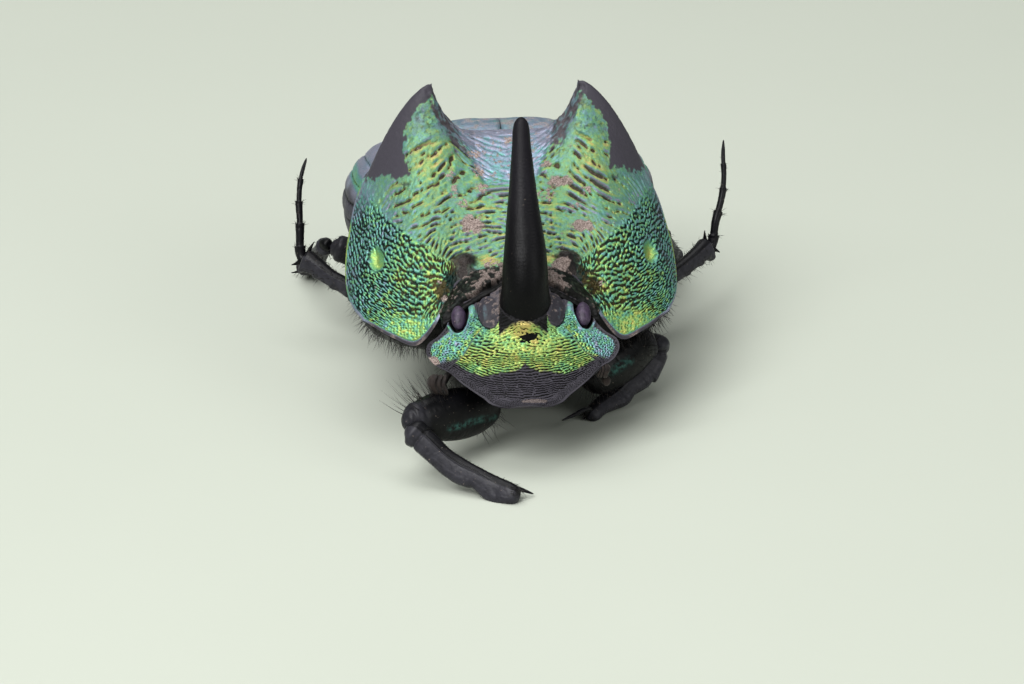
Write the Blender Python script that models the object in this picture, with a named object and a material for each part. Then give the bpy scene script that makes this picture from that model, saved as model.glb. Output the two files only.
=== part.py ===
"""A rainbow scarab of the genus Phanaeus (Phanaeus obliquans, major male), life size, standing on the floor.

Lengths in the tables are millimetres: x to the animal's left, y backward from the front edge of the
head, z up from the floor. The finished solids are in metres with the middle of the footprint at the origin.
"""

import math

import bmesh
import bpy
import numpy as np

MM = 0.001
CENTRE_X = 0.37
CENTRE_Y = 8.3
GAP = 0.1

HEAD_PITCH = math.radians(39.0)
CLYPEUS_HEIGHT = 2.26
HEAD_LENGTH = 4.4
ELYTRON_THICKNESS = 0.5
ELYTRON_EDGE_ANGLE = -18.0
ELYTRON_MIDDLE = 11.0
# Degrees below the wing case's edge between which the body under it narrows.
COVER_START, COVER_END = 14, 2

# The eye's centre along the head, to the side and above the head plane, and its radii that way.
EYE_CENTRE = (3.21, 1.95, 0.02)
EYE_RADII = (0.42, 0.25, 0.22)
EYE_TIP = 0.12

# How squarely the head, the prothorax and the trunk bulge.
HEAD_ROUNDNESS = 2.5
HEAD_BELLY = 0.72
HEAD_EDGE_DEPTH = 0.28
HEAD_EDGE_DROP = 0.12
HEAD_BELLY_LIFT = 0.2
# Below 1 the head's rings lie closer together towards its front edge.
HEAD_SPACING = 0.9
PROTHORAX_ROUNDNESS = (0.7, 0.85)
PROTHORAX_ROOF = 0.75
TRUNK_ROUNDNESS = 0.72

PYGIDIUM_CENTRE = 3.50
PYGIDIUM_HALF = (2.15, 0.85)
PYGIDIUM_LEAN = 0.10
# Depth of each ring of the pygidium, and its share of the full size.
PYGIDIUM_RINGS = ((0.0, 0.90), (0.16, 1.0), (0.30, 0.86), (0.42, 0.5))

HEAD_GRID = (16, 13)
PRONOTUM_GRID = (19, 23)
LIMB_SIDES = 10
HORN_SIDES = 12
BODY_SIDES = 18
TRUNK_SIDES = 20

# Distance along the head from its front edge, half width there.
HEAD_OUTLINE = (
    (0.02, 0.55), (0.08, 0.80), (0.46, 1.38), (0.94, 1.95), (1.44, 2.45), (1.60, 2.72), (1.86, 2.93),
    (2.19, 3.01), (2.43, 2.91), (2.62, 2.66), (2.88, 2.42), (3.25, 2.23), (3.60, 2.03), (4.10, 1.55),
    (4.40, 0.90),
)
# Distance along the head, height of its middle line above the head plane, depth below it.
HEAD_PROFILE = (
    (0.0, 0.0, 0.22), (0.3, 0.10, 0.32), (1.0, 0.22, 0.60), (2.0, 0.35, 1.05), (2.8, 0.42, 1.20),
    (3.5, 0.40, 1.15), (4.1, 0.22, 0.95), (4.4, 0.05, 0.60),
)
# y, x, z of the horn's middle line, half width, half depth.
HORN_STATIONS = (
    (2.44, 0.12, 4.62, 0.84, 0.88), (2.36, 0.12, 5.20, 0.74, 0.80), (2.50, 0.14, 5.90, 0.70, 0.72),
    (2.85, 0.15, 6.60, 0.63, 0.62), (3.40, 0.15, 7.50, 0.50, 0.50), (4.10, 0.17, 8.38, 0.38, 0.40),
    (4.80, 0.20, 9.08, 0.30, 0.31), (5.35, 0.23, 9.58, 0.24, 0.24), (5.56, 0.25, 9.76, 0.14, 0.14),
)
# x, y, z along the front edge of the pronotum from the middle to the corner.
PRONOTUM_FRONT = (
    (0.0, 4.20, 5.31), (0.8, 4.16, 5.27), (1.6, 3.98, 5.02), (2.2, 3.55, 4.50), (2.65, 3.24, 3.75),
    (3.15, 3.26, 3.14), (3.9, 3.70, 3.18), (4.85, 4.60, 3.48),
)
# Share of the way back along the side edge, x, y, z.
PRONOTUM_SIDE = (
    (0.0, 4.85, 4.60, 3.48), (0.18, 5.14, 5.60, 3.55), (0.38, 5.28, 6.73, 3.85), (0.55, 5.24, 7.68, 4.55),
    (0.68, 5.08, 8.40, 5.15), (0.79, 4.90, 9.00, 5.65), (0.93, 4.58, 9.80, 6.20), (1.0, 4.38, 10.20, 6.40),
)
# x, y, z along the back edge of the pronotum from the middle to the corner.
PRONOTUM_BACK = ((0.0, 11.10, 7.15), (2.0, 10.95, 7.05), (3.4, 10.65, 6.75), (4.38, 10.20, 6.40))
# Share of the way back, height of the middle line, distance of the horn ridge from it, ridge height.
PRONOTUM_ROOF = (
    (0.0, 5.31, 1.50, 5.10), (0.20, 6.15, 1.60, 6.10), (0.40, 6.90, 1.80, 7.00), (0.55, 7.45, 2.05, 7.85),
    (0.68, 7.80, 2.25, 8.85), (0.775, 7.95, 2.33, 9.70), (0.84, 7.92, 2.30, 8.80), (0.92, 7.60, 2.20, 7.50),
    (1.0, 7.15, 2.10, 7.05),
)

# Share of the columns of the pronotum's grid, from the middle out, that lie between the horn ridges.
RIDGE_COLUMN = 4 / 11
# Shares of the way back between which the round dome turns into the ridges with their prongs, between which
# the ridge turns from broad to steep, from which the roof falls to the back edge, and up to which it leaves
# the front edge.
FIN_START, FIN_END = 0.25, 0.65
BROAD_END, STEEP_START = 0.60, 0.74
BACK_FALL = 0.88
FRONT_RISE, FRONT_RISE_POWER = 0.34, 2.2
# Powers that shape the dome, and the prongs' ridge on its inner and its outer side.
DOME_POWER, DOME_FALL = 2.4, 0.588
RIDGE_INNER_POWER, RIDGE_OUTER_POWER = 4.5, 1.7
# Shares of the way back between which the lid under the shell is level.
LID_START, LID_END = 0.25, 0.85

LEAST_SHELL = 0.25

# y, half width, roof height, height of the widest level, belly height of the trunk behind the pronotum.
TRUNK = (
    (10.3, 4.70, 6.80, 4.70, 2.05), (11.2, 5.02, 7.38, 4.60, 1.65), (12.0, 5.10, 7.42, 4.50, 1.50),
    (13.5, 5.05, 6.85, 4.30, 1.48), (15.0, 4.70, 6.15, 4.00, 1.60), (16.3, 4.00, 5.40, 3.70, 1.95),
    (17.2, 2.95, 4.75, 3.45, 2.40), (17.6, 2.20, 4.35, 3.30, 2.70),
)
TRUNK_SPLIT = 14.1
# y, half width, height of the widest level, belly height of the prothorax.
PROTHORAX = (
    (3.95, 1.70, 3.80, 2.95), (4.35, 3.70, 3.40, 2.45), (5.0, 4.50, 3.35, 2.10), (6.0, 4.92, 3.45, 1.75),
    (7.0, 5.02, 3.90, 1.62), (8.2, 4.85, 4.75, 1.60), (9.3, 4.55, 5.45, 1.70), (10.15, 4.28, 5.90, 1.95),
)

# Each piece of a limb: name, direction of its wide side, and stations of its middle line, which hold
# x, y, z, half width on the wide side, half width on the other side and half thickness.
FORE_RIGHT = (
    ("coxa_fore_right", (0.0, 0.0, -1.0), (
        (-1.85, 4.95, 2.55, 0.62, 0.62, 0.62), (-1.55, 4.30, 2.05, 0.80, 0.80, 0.80),
        (-1.10, 3.45, 1.55, 0.74, 0.70, 0.70), (-0.85, 2.95, 1.38, 0.48, 0.48, 0.46),
    )),
    ("femur_fore_right", (-0.03, -0.37, -0.93), (
        (-0.77, 2.50, 1.34, 0.42, 0.42, 0.36), (-1.21, 2.10, 1.42, 0.66, 0.62, 0.50),
        (-1.67, 1.70, 1.50, 0.82, 0.72, 0.55), (-2.52, 1.05, 1.68, 0.86, 0.74, 0.55),
        (-3.17, 0.50, 1.79, 0.66, 0.62, 0.48), (-3.50, 0.25, 1.83, 0.45, 0.45, 0.40),
    )),
    ("tibia_fore_right", (-0.56, -0.28, -0.78), (
        (-3.76, -0.01, 1.67, 0.26, 0.24, 0.30), (-3.58, -0.12, 1.60, 0.36, 0.38, 0.31),
        (-3.19, -0.38, 1.34, 0.40, 0.40, 0.30), (-2.69, -0.71, 0.94, 0.37, 0.37, 0.28),
        (-2.16, -1.05, 0.63, 0.40, 0.40, 0.27), (-1.66, -1.38, 0.51, 0.34, 0.34, 0.26),
        (-1.13, -1.73, 0.26, 0.41, 0.41, 0.26), (-0.63, -2.06, 0.22, 0.33, 0.33, 0.25),
        (-0.42, -2.20, 0.21, 0.26, 0.24, 0.20),
    )),
    ("spur_fore_right", (0.0, 0.0, -1.0), (
        (-0.72, -1.78, 0.40, 0.12, 0.12, 0.12), (-0.30, -1.80, 0.26, 0.10, 0.10, 0.10),
        (0.05, -1.84, 0.12, 0.04, 0.04, 0.04),
    )),
)
FORE_LEFT = (
    ("coxa_fore_left", (0.0, 0.0, -1.0), (
        (1.85, 5.20, 2.55, 0.62, 0.62, 0.62), (1.80, 4.75, 2.05, 0.80, 0.80, 0.80),
        (1.85, 4.40, 1.60, 0.70, 0.70, 0.70), (1.95, 4.25, 1.30, 0.45, 0.45, 0.45),
    )),
    ("femur_fore_left", (0.0, -0.30, -0.95), (
        (2.10, 4.25, 1.22, 0.42, 0.42, 0.40), (2.60, 4.65, 1.35, 0.66, 0.62, 0.50),
        (3.20, 5.15, 1.50, 0.74, 0.72, 0.55), (3.85, 5.75, 1.70, 0.70, 0.70, 0.52),
        (4.25, 6.15, 1.82, 0.55, 0.55, 0.46), (4.45, 6.35, 1.88, 0.42, 0.42, 0.40),
    )),
    ("tibia_fore_left", (0.75, -0.29, -0.59), (
        (4.47, 6.25, 1.96, 0.38, 0.24, 0.28), (4.58, 6.36, 1.60, 0.45, 0.32, 0.30),
        (4.48, 6.26, 1.23, 0.47, 0.42, 0.29), (4.23, 6.01, 0.96, 0.45, 0.46, 0.28),
        (3.95, 5.73, 0.77, 0.47, 0.46, 0.27), (3.66, 5.44, 0.59, 0.33, 0.45, 0.27),
        (3.35, 5.13, 0.42, 0.39, 0.42, 0.26), (3.03, 4.81, 0.32, 0.28, 0.39, 0.26),
        (2.71, 4.49, 0.25, 0.21, 0.38, 0.25), (2.43, 4.21, 0.19, 0.25, 0.30, 0.23),
        (2.24, 4.02, 0.16, 0.20, 0.18, 0.16),
    )),
    ("spur_fore_left", (0.0, 0.0, -1.0), (
        (2.30, 3.94, 0.46, 0.11, 0.11, 0.11), (2.12, 3.70, 0.56, 0.11, 0.11, 0.11),
        (1.74, 3.36, 0.53, 0.10, 0.10, 0.10), (1.30, 2.98, 0.50, 0.03, 0.03, 0.03),
    )),
)
MID_RIGHT = (
    ("coxa_mid_right", (0.0, 0.0, -1.0), (
        (-1.55, 12.35, 1.75, 0.40, 0.40, 0.45), (-1.90, 11.85, 1.50, 0.55, 0.55, 0.60),
        (-2.25, 11.45, 1.35, 0.45, 0.45, 0.50),
    )),
    ("femur_mid_right", (0.0, 0.0, -1.0), (
        (-2.20, 11.45, 1.30, 0.30, 0.30, 0.30), (-2.80, 11.20, 1.35, 0.48, 0.44, 0.40),
        (-3.50, 10.90, 1.50, 0.52, 0.46, 0.42), (-4.20, 10.62, 1.68, 0.40, 0.40, 0.36),
        (-4.62, 10.45, 1.80, 0.30, 0.30, 0.30),
    )),
    ("tibia_mid_right", (-0.55, 0.0, -0.83), (
        (-4.70, 10.50, 1.90, 0.25, 0.25, 0.25), (-5.15, 11.00, 2.14, 0.27, 0.27, 0.25),
        (-5.67, 11.40, 2.34, 0.27, 0.27, 0.25), (-6.08, 11.80, 2.57, 0.32, 0.30, 0.28),
        (-6.46, 12.10, 2.75, 0.46, 0.38, 0.32),
    )),
    ("tarsus_mid_right", (-1.0, 0.0, 0.0), (
        (-6.48, 12.28, 2.94, 0.22, 0.22, 0.22), (-6.56, 12.60, 3.55, 0.22, 0.22, 0.22),
        (-6.55, 12.75, 3.84, 0.21, 0.21, 0.21), (-6.56, 13.00, 4.27, 0.20, 0.20, 0.20),
        (-6.51, 13.30, 4.86, 0.19, 0.19, 0.19), (-6.43, 13.50, 5.21, 0.18, 0.18, 0.18),
        (-6.26, 13.75, 5.64, 0.12, 0.12, 0.12),
    )),
)
MID_LEFT = (
    ("coxa_mid_left", (0.0, 0.0, -1.0), (
        (1.55, 12.35, 1.75, 0.40, 0.40, 0.45), (1.90, 11.85, 1.50, 0.55, 0.55, 0.60),
        (2.25, 11.45, 1.35, 0.45, 0.45, 0.50),
    )),
    ("femur_mid_left", (0.0, 0.0, -1.0), (
        (2.20, 11.45, 1.30, 0.30, 0.30, 0.30), (2.95, 11.15, 1.40, 0.48, 0.44, 0.40),
        (3.80, 10.85, 1.62, 0.52, 0.46, 0.42), (4.60, 10.58, 1.90, 0.40, 0.40, 0.36),
        (5.10, 10.42, 2.06, 0.30, 0.30, 0.30),
    )),
    ("tibia_mid_left", (0.55, 0.0, -0.83), (
        (5.24, 10.50, 2.14, 0.25, 0.25, 0.25), (5.76, 11.00, 2.28, 0.27, 0.27, 0.25),
        (6.22, 11.40, 2.46, 0.28, 0.28, 0.25), (6.66, 11.80, 2.66, 0.33, 0.32, 0.28),
        (6.89, 12.10, 2.72, 0.46, 0.38, 0.32),
    )),
    ("tarsus_mid_left", (1.0, 0.0, 0.0), (
        (6.98, 12.28, 2.88, 0.22, 0.22, 0.22), (7.20, 12.60, 3.46, 0.22, 0.22, 0.22),
        (7.36, 12.85, 3.89, 0.21, 0.21, 0.21), (7.48, 13.10, 4.32, 0.20, 0.20, 0.20),
        (7.53, 13.30, 4.78, 0.19, 0.19, 0.19), (7.53, 13.60, 5.37, 0.18, 0.18, 0.18),
        (7.56, 13.80, 5.84, 0.12, 0.12, 0.12),
    )),
)
# The hind legs are alike, so they are held once, for the left side.
HIND = (
    ("coxa_hind", (0.0, 0.0, -1.0), (
        (1.20, 14.05, 1.70, 0.40, 0.40, 0.50), (2.00, 14.10, 1.52, 0.50, 0.50, 0.60),
        (2.60, 14.20, 1.50, 0.42, 0.42, 0.50),
    )),
    ("femur_hind", (0.0, 0.0, -1.0), (
        (2.45, 14.30, 1.45, 0.32, 0.32, 0.30), (3.30, 14.45, 1.55, 0.52, 0.50, 0.42),
        (4.20, 14.60, 1.75, 0.56, 0.52, 0.44), (5.00, 14.70, 1.98, 0.46, 0.46, 0.38),
        (5.50, 14.75, 2.12, 0.34, 0.34, 0.32),
    )),
    ("tibia_hind", (0.9, 0.0, -0.3), (
        (5.62, 14.90, 2.12, 0.25, 0.25, 0.25), (5.78, 15.60, 1.62, 0.28, 0.28, 0.26),
        (5.92, 16.30, 1.12, 0.32, 0.32, 0.28), (6.05, 16.95, 0.66, 0.42, 0.40, 0.32),
        (6.12, 17.25, 0.44, 0.48, 0.44, 0.36),
    )),
    ("tarsus_hind", (1.0, 0.0, 0.0), (
        (6.14, 17.40, 0.27, 0.24, 0.24, 0.24), (6.20, 17.85, 0.20, 0.23, 0.23, 0.23),
        (6.26, 18.30, 0.19, 0.22, 0.22, 0.22), (6.32, 18.70, 0.18, 0.21, 0.21, 0.21),
        (6.38, 19.10, 0.17, 0.19, 0.19, 0.19), (6.40, 19.35, 0.16, 0.12, 0.12, 0.12),
    )),
)
ANTENNA_LEFT = (
    (2.05, 2.60, 2.62, 0.22, 0.22, 0.24), (2.35, 2.10, 2.50, 0.24, 0.24, 0.25),
    (2.62, 1.35, 2.42, 0.36, 0.36, 0.30), (2.66, 1.05, 2.38, 0.36, 0.36, 0.28),
    (2.66, 0.85, 2.36, 0.20, 0.20, 0.16),
)
MOUTHPARTS = (
    (0.0, 1.30, 2.52, 0.30, 0.30, 0.70), (0.0, 1.75, 2.35, 0.42, 0.42, 1.05),
    (0.0, 2.50, 2.30, 0.46, 0.50, 1.15), (0.0, 3.05, 2.45, 0.34, 0.40, 0.80),
)

BLACK = ((0.012, 0.012, 0.014), 0.0, 0.38)
GREEN = ((0.03, 0.38, 0.17), 0.9, 0.32)
BLUE = ((0.12, 0.17, 0.32), 0.7, 0.38)
EYE = ((0.05, 0.03, 0.08), 0.0, 0.22)
BROWN = ((0.10, 0.07, 0.05), 0.0, 0.7)


def spline(knots, t):
    """Values at t of a smooth curve through the rows (t, value, ...)."""
    table = np.asarray(knots, float)
    place, values = table[:, 0], table[:, 1:]
    slopes = np.gradient(values, place, axis=0)
    t = np.clip(np.atleast_1d(np.asarray(t, float)), place[0], place[-1])
    i = np.clip(np.searchsorted(place, t, side="right") - 1, 0, len(place) - 2)
    width = (place[i + 1] - place[i])[:, None]
    s = ((t - place[i]) / (place[i + 1] - place[i]))[:, None]
    start, end = values[i], values[i + 1]
    return (
        start * (1 + 2 * s) * (1 - s) ** 2
        + slopes[i] * width * s * (1 - s) ** 2
        + end * s**2 * (3 - 2 * s)
        + slopes[i + 1] * width * s**2 * (s - 1)
    )


def smooth(low, high, t):
    """0 below low, 1 above high, and a soft step between."""
    s = np.clip((t - low) / (high - low), 0.0, 1.0)
    return s * s * (3 - 2 * s)


def unit(vector):
    return np.asarray(vector, float) / np.linalg.norm(vector)


def clear_scene():
    for item in list(bpy.data.objects):
        bpy.data.objects.remove(item, do_unlink=True)


def add_solid(name, points, faces, look):
    """Makes one closed body from points in millimetres, with its faces turned outward."""
    points = np.array(points, float)
    points[:, 2] = np.maximum(points[:, 2], 0.0)
    points = (points - (CENTRE_X, CENTRE_Y, 0.0)) * MM
    mesh = bpy.data.meshes.new(name)
    mesh.from_pydata(points.tolist(), [], faces)
    body = bmesh.new()
    body.from_mesh(mesh)
    bmesh.ops.remove_doubles(body, verts=body.verts, dist=1e-7)
    bmesh.ops.dissolve_degenerate(body, edges=body.edges, dist=1e-7)
    bmesh.ops.triangulate(body, faces=body.faces)
    bmesh.ops.recalc_face_normals(body, faces=body.faces)
    if body.calc_volume(signed=True) < 0:
        bmesh.ops.reverse_faces(body, faces=body.faces)
    body.to_mesh(mesh)
    body.free()
    solid = bpy.data.objects.new(name, mesh)
    bpy.context.scene.collection.objects.link(solid)
    if look:
        mesh.materials.append(make_material(name, *look))
    return solid


def make_material(name, colour, metallic, roughness):
    material = bpy.data.materials.new(name)
    material.use_nodes = True
    shader = material.node_tree.nodes["Principled BSDF"]
    shader.inputs["Base Color"].default_value = (*colour, 1.0)
    shader.inputs["Metallic"].default_value = metallic
    shader.inputs["Roughness"].default_value = roughness
    return material


def ring_faces(rows, columns):
    """Faces of a tube of closed rings, with a flat face at each end."""
    faces = []
    for i in range(rows - 1):
        for j in range(columns):
            k = (j + 1) % columns
            faces.append((i * columns + j, i * columns + k, (i + 1) * columns + k, (i + 1) * columns + j))
    faces.append(tuple(range(columns)))
    faces.append(tuple((rows - 1) * columns + j for j in range(columns)))
    return faces


def grid_faces(rows, columns, first=0):
    faces = []
    for i in range(rows - 1):
        for j in range(columns - 1):
            a = first + i * columns + j
            faces.append((a, a + 1, a + columns + 1, a + columns))
    return faces


def add_rings(name, rings, look):
    rings = np.asarray(rings, float)
    return add_solid(name, rings.reshape(-1, 3), ring_faces(*rings.shape[:2]), look)


def add_sheet(name, top, bottom, look):
    """Closes two grids of points that share their border into one body."""
    rows, columns = top.shape[:2]
    points = np.concatenate([top.reshape(-1, 3), bottom.reshape(-1, 3)])
    faces = grid_faces(rows, columns) + grid_faces(rows, columns, rows * columns)
    return add_solid(name, points, faces, look)


def cut(body, cutter):
    """Takes the cutter out of the body."""
    cutter.hide_render = True
    cutter.display_type = "WIRE"
    hole = body.modifiers.new(cutter.name, "BOOLEAN")
    hole.operation = "DIFFERENCE"
    hole.solver = "EXACT"
    hole.object = cutter


def limb_rings(stations, wide, count=LIMB_SIDES, grow=0.0):
    """Rings round a middle line. A station is x, y, z, the half widths on the wide side and on the other
    side, and the half thickness."""
    table = np.asarray(stations, float)
    line = table[:, :3].copy()
    along = np.gradient(line, axis=0)
    along /= np.linalg.norm(along, axis=1)[:, None]
    line[0] -= along[0] * grow
    line[-1] += along[-1] * grow
    rings = []
    for centre, ahead, (outer, inner, thick) in zip(line, along, table[:, 3:]):
        across = unit(np.cross(ahead, wide))
        side = np.cross(across, ahead)
        ring = []
        for j in range(count):
            angle = 2 * math.pi * j / count
            reach = (outer if math.cos(angle) > 0 else inner) + grow
            ring.append(centre + side * reach * math.cos(angle) + across * (thick + grow) * math.sin(angle))
        rings.append(ring)
    return rings


def add_limb(name, stations, wide, look=BLACK):
    return add_rings(name, limb_rings(stations, wide), look)


def add_limb_cutter(name, stations, wide):
    return add_rings(name + "_cutter", limb_rings(stations, wide, grow=GAP), None)


def mirrored(stations):
    return [(-x, *rest) for x, *rest in stations]


def add_leg(pieces, bodies, others=()):
    """Adds the pieces of one leg. Each piece is cut back from the next one out. Each body is cut back from
    the coxa and the femur."""
    solids = [add_limb(name, stations, wide) for name, wide, stations in pieces]
    cutters = [add_limb_cutter(name, stations, wide) for name, wide, stations in pieces]
    for solid, cutter in zip(solids, cutters[1:]):
        cut(solid, cutter)
    for body in bodies:
        for cutter in cutters[:2]:
            cut(body, cutter)
    for other in others:
        cut(solids[1], other)


def head_place(s, t, n):
    """Point at s along the head from its front edge, t to the side and n above the head plane."""
    s, t, n = np.broadcast_arrays(np.asarray(s, float), t, n)
    y = s * math.cos(HEAD_PITCH) - n * math.sin(HEAD_PITCH)
    z = CLYPEUS_HEIGHT + s * math.sin(HEAD_PITCH) + n * math.cos(HEAD_PITCH)
    return np.stack([t, y, z], axis=-1)


def head_roof(s, t):
    half = spline(HEAD_OUTLINE, s)[:, 0]
    middle = spline(HEAD_PROFILE, s)[:, 0]
    return middle - (middle + HEAD_EDGE_DROP) * np.abs(t / half) ** HEAD_ROUNDNESS


def add_head():
    rows, columns = HEAD_GRID
    s = HEAD_LENGTH * np.linspace(0.0, 1.0, rows) ** HEAD_SPACING
    s[0] = HEAD_OUTLINE[0][0]
    top = np.zeros((rows, columns, 3))
    bottom = np.zeros((rows, columns, 3))
    share = np.sin(np.linspace(-1.0, 1.0, columns) * math.pi / 2)
    for i in range(rows):
        here = np.full(columns, s[i])
        half, (_, depth) = spline(HEAD_OUTLINE, s[i])[0, 0], spline(HEAD_PROFILE, s[i])[0]
        roof = head_roof(here, share * half)
        belly = -HEAD_EDGE_DEPTH - (depth - HEAD_BELLY_LIFT) * np.clip(1 - (share / HEAD_BELLY) ** 2, 0, 1)
        top[i] = head_place(here, share * half, roof)
        bottom[i] = head_place(here, share * half, belly)
    ring = np.concatenate([top, bottom[:, ::-1]], axis=1)
    return add_rings("head", ring, GREEN)


def horn_rings(grow=0.0):
    table = [(x, y, z, wide, wide, deep) for y, x, z, wide, deep in HORN_STATIONS]
    return limb_rings(table, (1.0, 0.0, 0.0), HORN_SIDES, grow)


def eye_rings(side, grow=0.0):
    """An egg-shaped eye set into the head beside the horn."""
    rings = []
    along, out, rise = (radius + grow for radius in EYE_RADII)
    for polar in np.linspace(EYE_TIP, math.pi - EYE_TIP, 7):
        ring = []
        for j in range(LIMB_SIDES):
            angle = 2 * math.pi * j / LIMB_SIDES
            s = EYE_CENTRE[0] + along * math.cos(polar)
            t = EYE_CENTRE[1] + out * math.sin(polar) * math.cos(angle)
            n = EYE_CENTRE[2] + rise * math.sin(polar) * math.sin(angle)
            ring.append(head_place(s, side * t, n))
        rings.append(ring)
    return rings


def pronotum_grids(rows, columns):
    """Upper skin and lower lid of the pronotum as grids of points."""
    across = np.linspace(-1.0, 1.0, columns)
    roof = np.zeros((rows, columns, 3))
    lid = np.zeros((rows, columns, 3))
    for i, v in enumerate(np.linspace(0.0, 1.0, rows)):
        half, _, edge = spline(PRONOTUM_SIDE, v)[0]
        middle, ridge, crest = spline(PRONOTUM_ROOF, v)[0]
        outward = np.clip((np.abs(across) - RIDGE_COLUMN) / (1 - RIDGE_COLUMN), 0, 1)
        u = ridge * np.minimum(np.abs(across) / RIDGE_COLUMN, 1)
        u = u + (half - ridge) * np.sin(outward * math.pi / 2)
        x = np.copysign(u, across)
        front_y, front_z = spline(PRONOTUM_FRONT, u * PRONOTUM_FRONT[-1][0] / half).T
        back_y, back_z = spline(PRONOTUM_BACK, u * PRONOTUM_BACK[-1][0] / half).T
        y = front_y + (back_y - front_y) * v
        dome = edge + (middle - edge) * (1 - (u / half) ** DOME_POWER) ** DOME_FALL
        s, broad = np.minimum(u, ridge) / ridge, smooth(STEEP_START, BROAD_END, v)
        steep_rise, broad_rise = s**RIDGE_INNER_POWER, s**4 * (5 - 4 * s)
        inner = middle + (crest - middle) * (steep_rise * (1 - broad) + broad_rise * broad)
        outer = edge + (crest - edge) * (1 - (np.maximum(u - ridge, 0) / (half - ridge)) ** RIDGE_OUTER_POWER)
        fin = np.where(u < ridge, inner, outer)
        z = dome + (fin - dome) * smooth(FIN_START, FIN_END, v)
        z = z + (front_z - z) * max(1 - v / FRONT_RISE, 0) ** FRONT_RISE_POWER
        z = z + (back_z - z) * smooth(BACK_FALL, 1.0, v)
        low = edge + (front_z - edge) * (1 - smooth(0.0, LID_START, v))
        low = low + (back_z - edge) * smooth(LID_END, 1.0, v)
        roof[i] = np.stack([x, y, z], axis=1)
        if 0 < i < rows - 1:
            low = np.minimum(low, z - LEAST_SHELL)
            low[0], low[-1] = z[0], z[-1]
        lid[i] = np.stack([x, y, low], axis=1)
    return roof, lid


def add_pronotum():
    roof, lid = pronotum_grids(*PRONOTUM_GRID)
    return add_sheet("pronotum", roof, lid, GREEN)


def add_prothorax():
    rings = []
    for y in np.linspace(PROTHORAX[0][0], PROTHORAX[-1][0], 9):
        half, level, belly = spline(PROTHORAX, y)[0]
        ring = []
        for j in range(BODY_SIDES):
            angle = 2 * math.pi * j / BODY_SIDES
            c, s = math.cos(angle), math.sin(angle)
            x = half * math.copysign(abs(c) ** PROTHORAX_ROUNDNESS[0], c)
            reach = PROTHORAX_ROOF if s > 0 else level - belly
            z = level + reach * math.copysign(abs(s) ** PROTHORAX_ROUNDNESS[1], s)
            ring.append((x, y, z))
        rings.append(ring)
    return add_rings("prothorax", rings, BLACK)


def trunk_point(y, angle, inset):
    """Point of the trunk's outline at y, inset inside its skin. The angle runs from the side upward."""
    half, roof, level, belly = spline(TRUNK, y)[0]
    c, s = math.cos(math.radians(angle)), math.sin(math.radians(angle))
    x = (half - inset) * math.copysign(abs(c) ** TRUNK_ROUNDNESS, c)
    reach = roof - level - inset if s > 0 else level - belly - inset
    return x, y, level + reach * s


def elytron_start(x):
    """How far back the wing case begins, just behind the edge of the pronotum."""
    return spline(PRONOTUM_BACK, min(abs(x), PRONOTUM_BACK[-1][0]))[0, 0] + GAP


def add_elytron(name, side):
    rings = []
    last = TRUNK[-1][0]
    for w in np.linspace(0.0, 1.0, 12):
        ring = []
        for inset, angles in ((0.0, np.linspace(ELYTRON_EDGE_ANGLE, 90, 10)),
                              (ELYTRON_THICKNESS, np.linspace(90, ELYTRON_EDGE_ANGLE, 7))):
            for angle in angles:
                x = trunk_point(ELYTRON_MIDDLE, angle, inset)[0]
                start = elytron_start(x)
                x, y, z = trunk_point(start + (last - start) * w, angle, inset)
                ring.append((side * max(x, GAP / 2), y, z))
        rings.append(ring)
    return add_rings(name, rings, BLUE)


def trunk_ring(y):
    """Ring of the body under the wing cases."""
    ring = []
    for j in range(TRUNK_SIDES):
        angle = -180 + 360 / TRUNK_SIDES * j
        rise = angle if angle <= 90 else 180 - angle
        rise = rise if angle >= -90 else -180 - angle
        covered = smooth(ELYTRON_EDGE_ANGLE - COVER_START, ELYTRON_EDGE_ANGLE - COVER_END, rise)
        inset = float(covered) * (ELYTRON_THICKNESS + GAP)
        ring.append(trunk_point(y, angle, inset))
    return ring


def add_pterothorax():
    rings = [trunk_ring(y) for y in np.linspace(TRUNK[0][0], TRUNK_SPLIT - GAP / 2, 6)]
    return add_rings("pterothorax", rings, BLACK)


def add_abdomen():
    rings = [trunk_ring(y) for y in np.linspace(TRUNK_SPLIT + GAP / 2, TRUNK[-1][0], 6)]
    return add_rings("abdomen", rings, BLACK)


def add_pygidium():
    """The shield that closes the body behind the wing cases."""
    rings = []
    front = TRUNK[-1][0] + GAP + PYGIDIUM_LEAN * PYGIDIUM_HALF[1]
    for depth, spread in PYGIDIUM_RINGS:
        ring = []
        for j in range(BODY_SIDES):
            angle = 2 * math.pi * j / BODY_SIDES
            x = PYGIDIUM_HALF[0] * spread * math.cos(angle)
            rise = PYGIDIUM_HALF[1] * spread * math.sin(angle)
            ring.append((x, front + depth - PYGIDIUM_LEAN * rise, PYGIDIUM_CENTRE + rise))
        rings.append(ring)
    return add_rings("pygidium", rings, GREEN)


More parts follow.
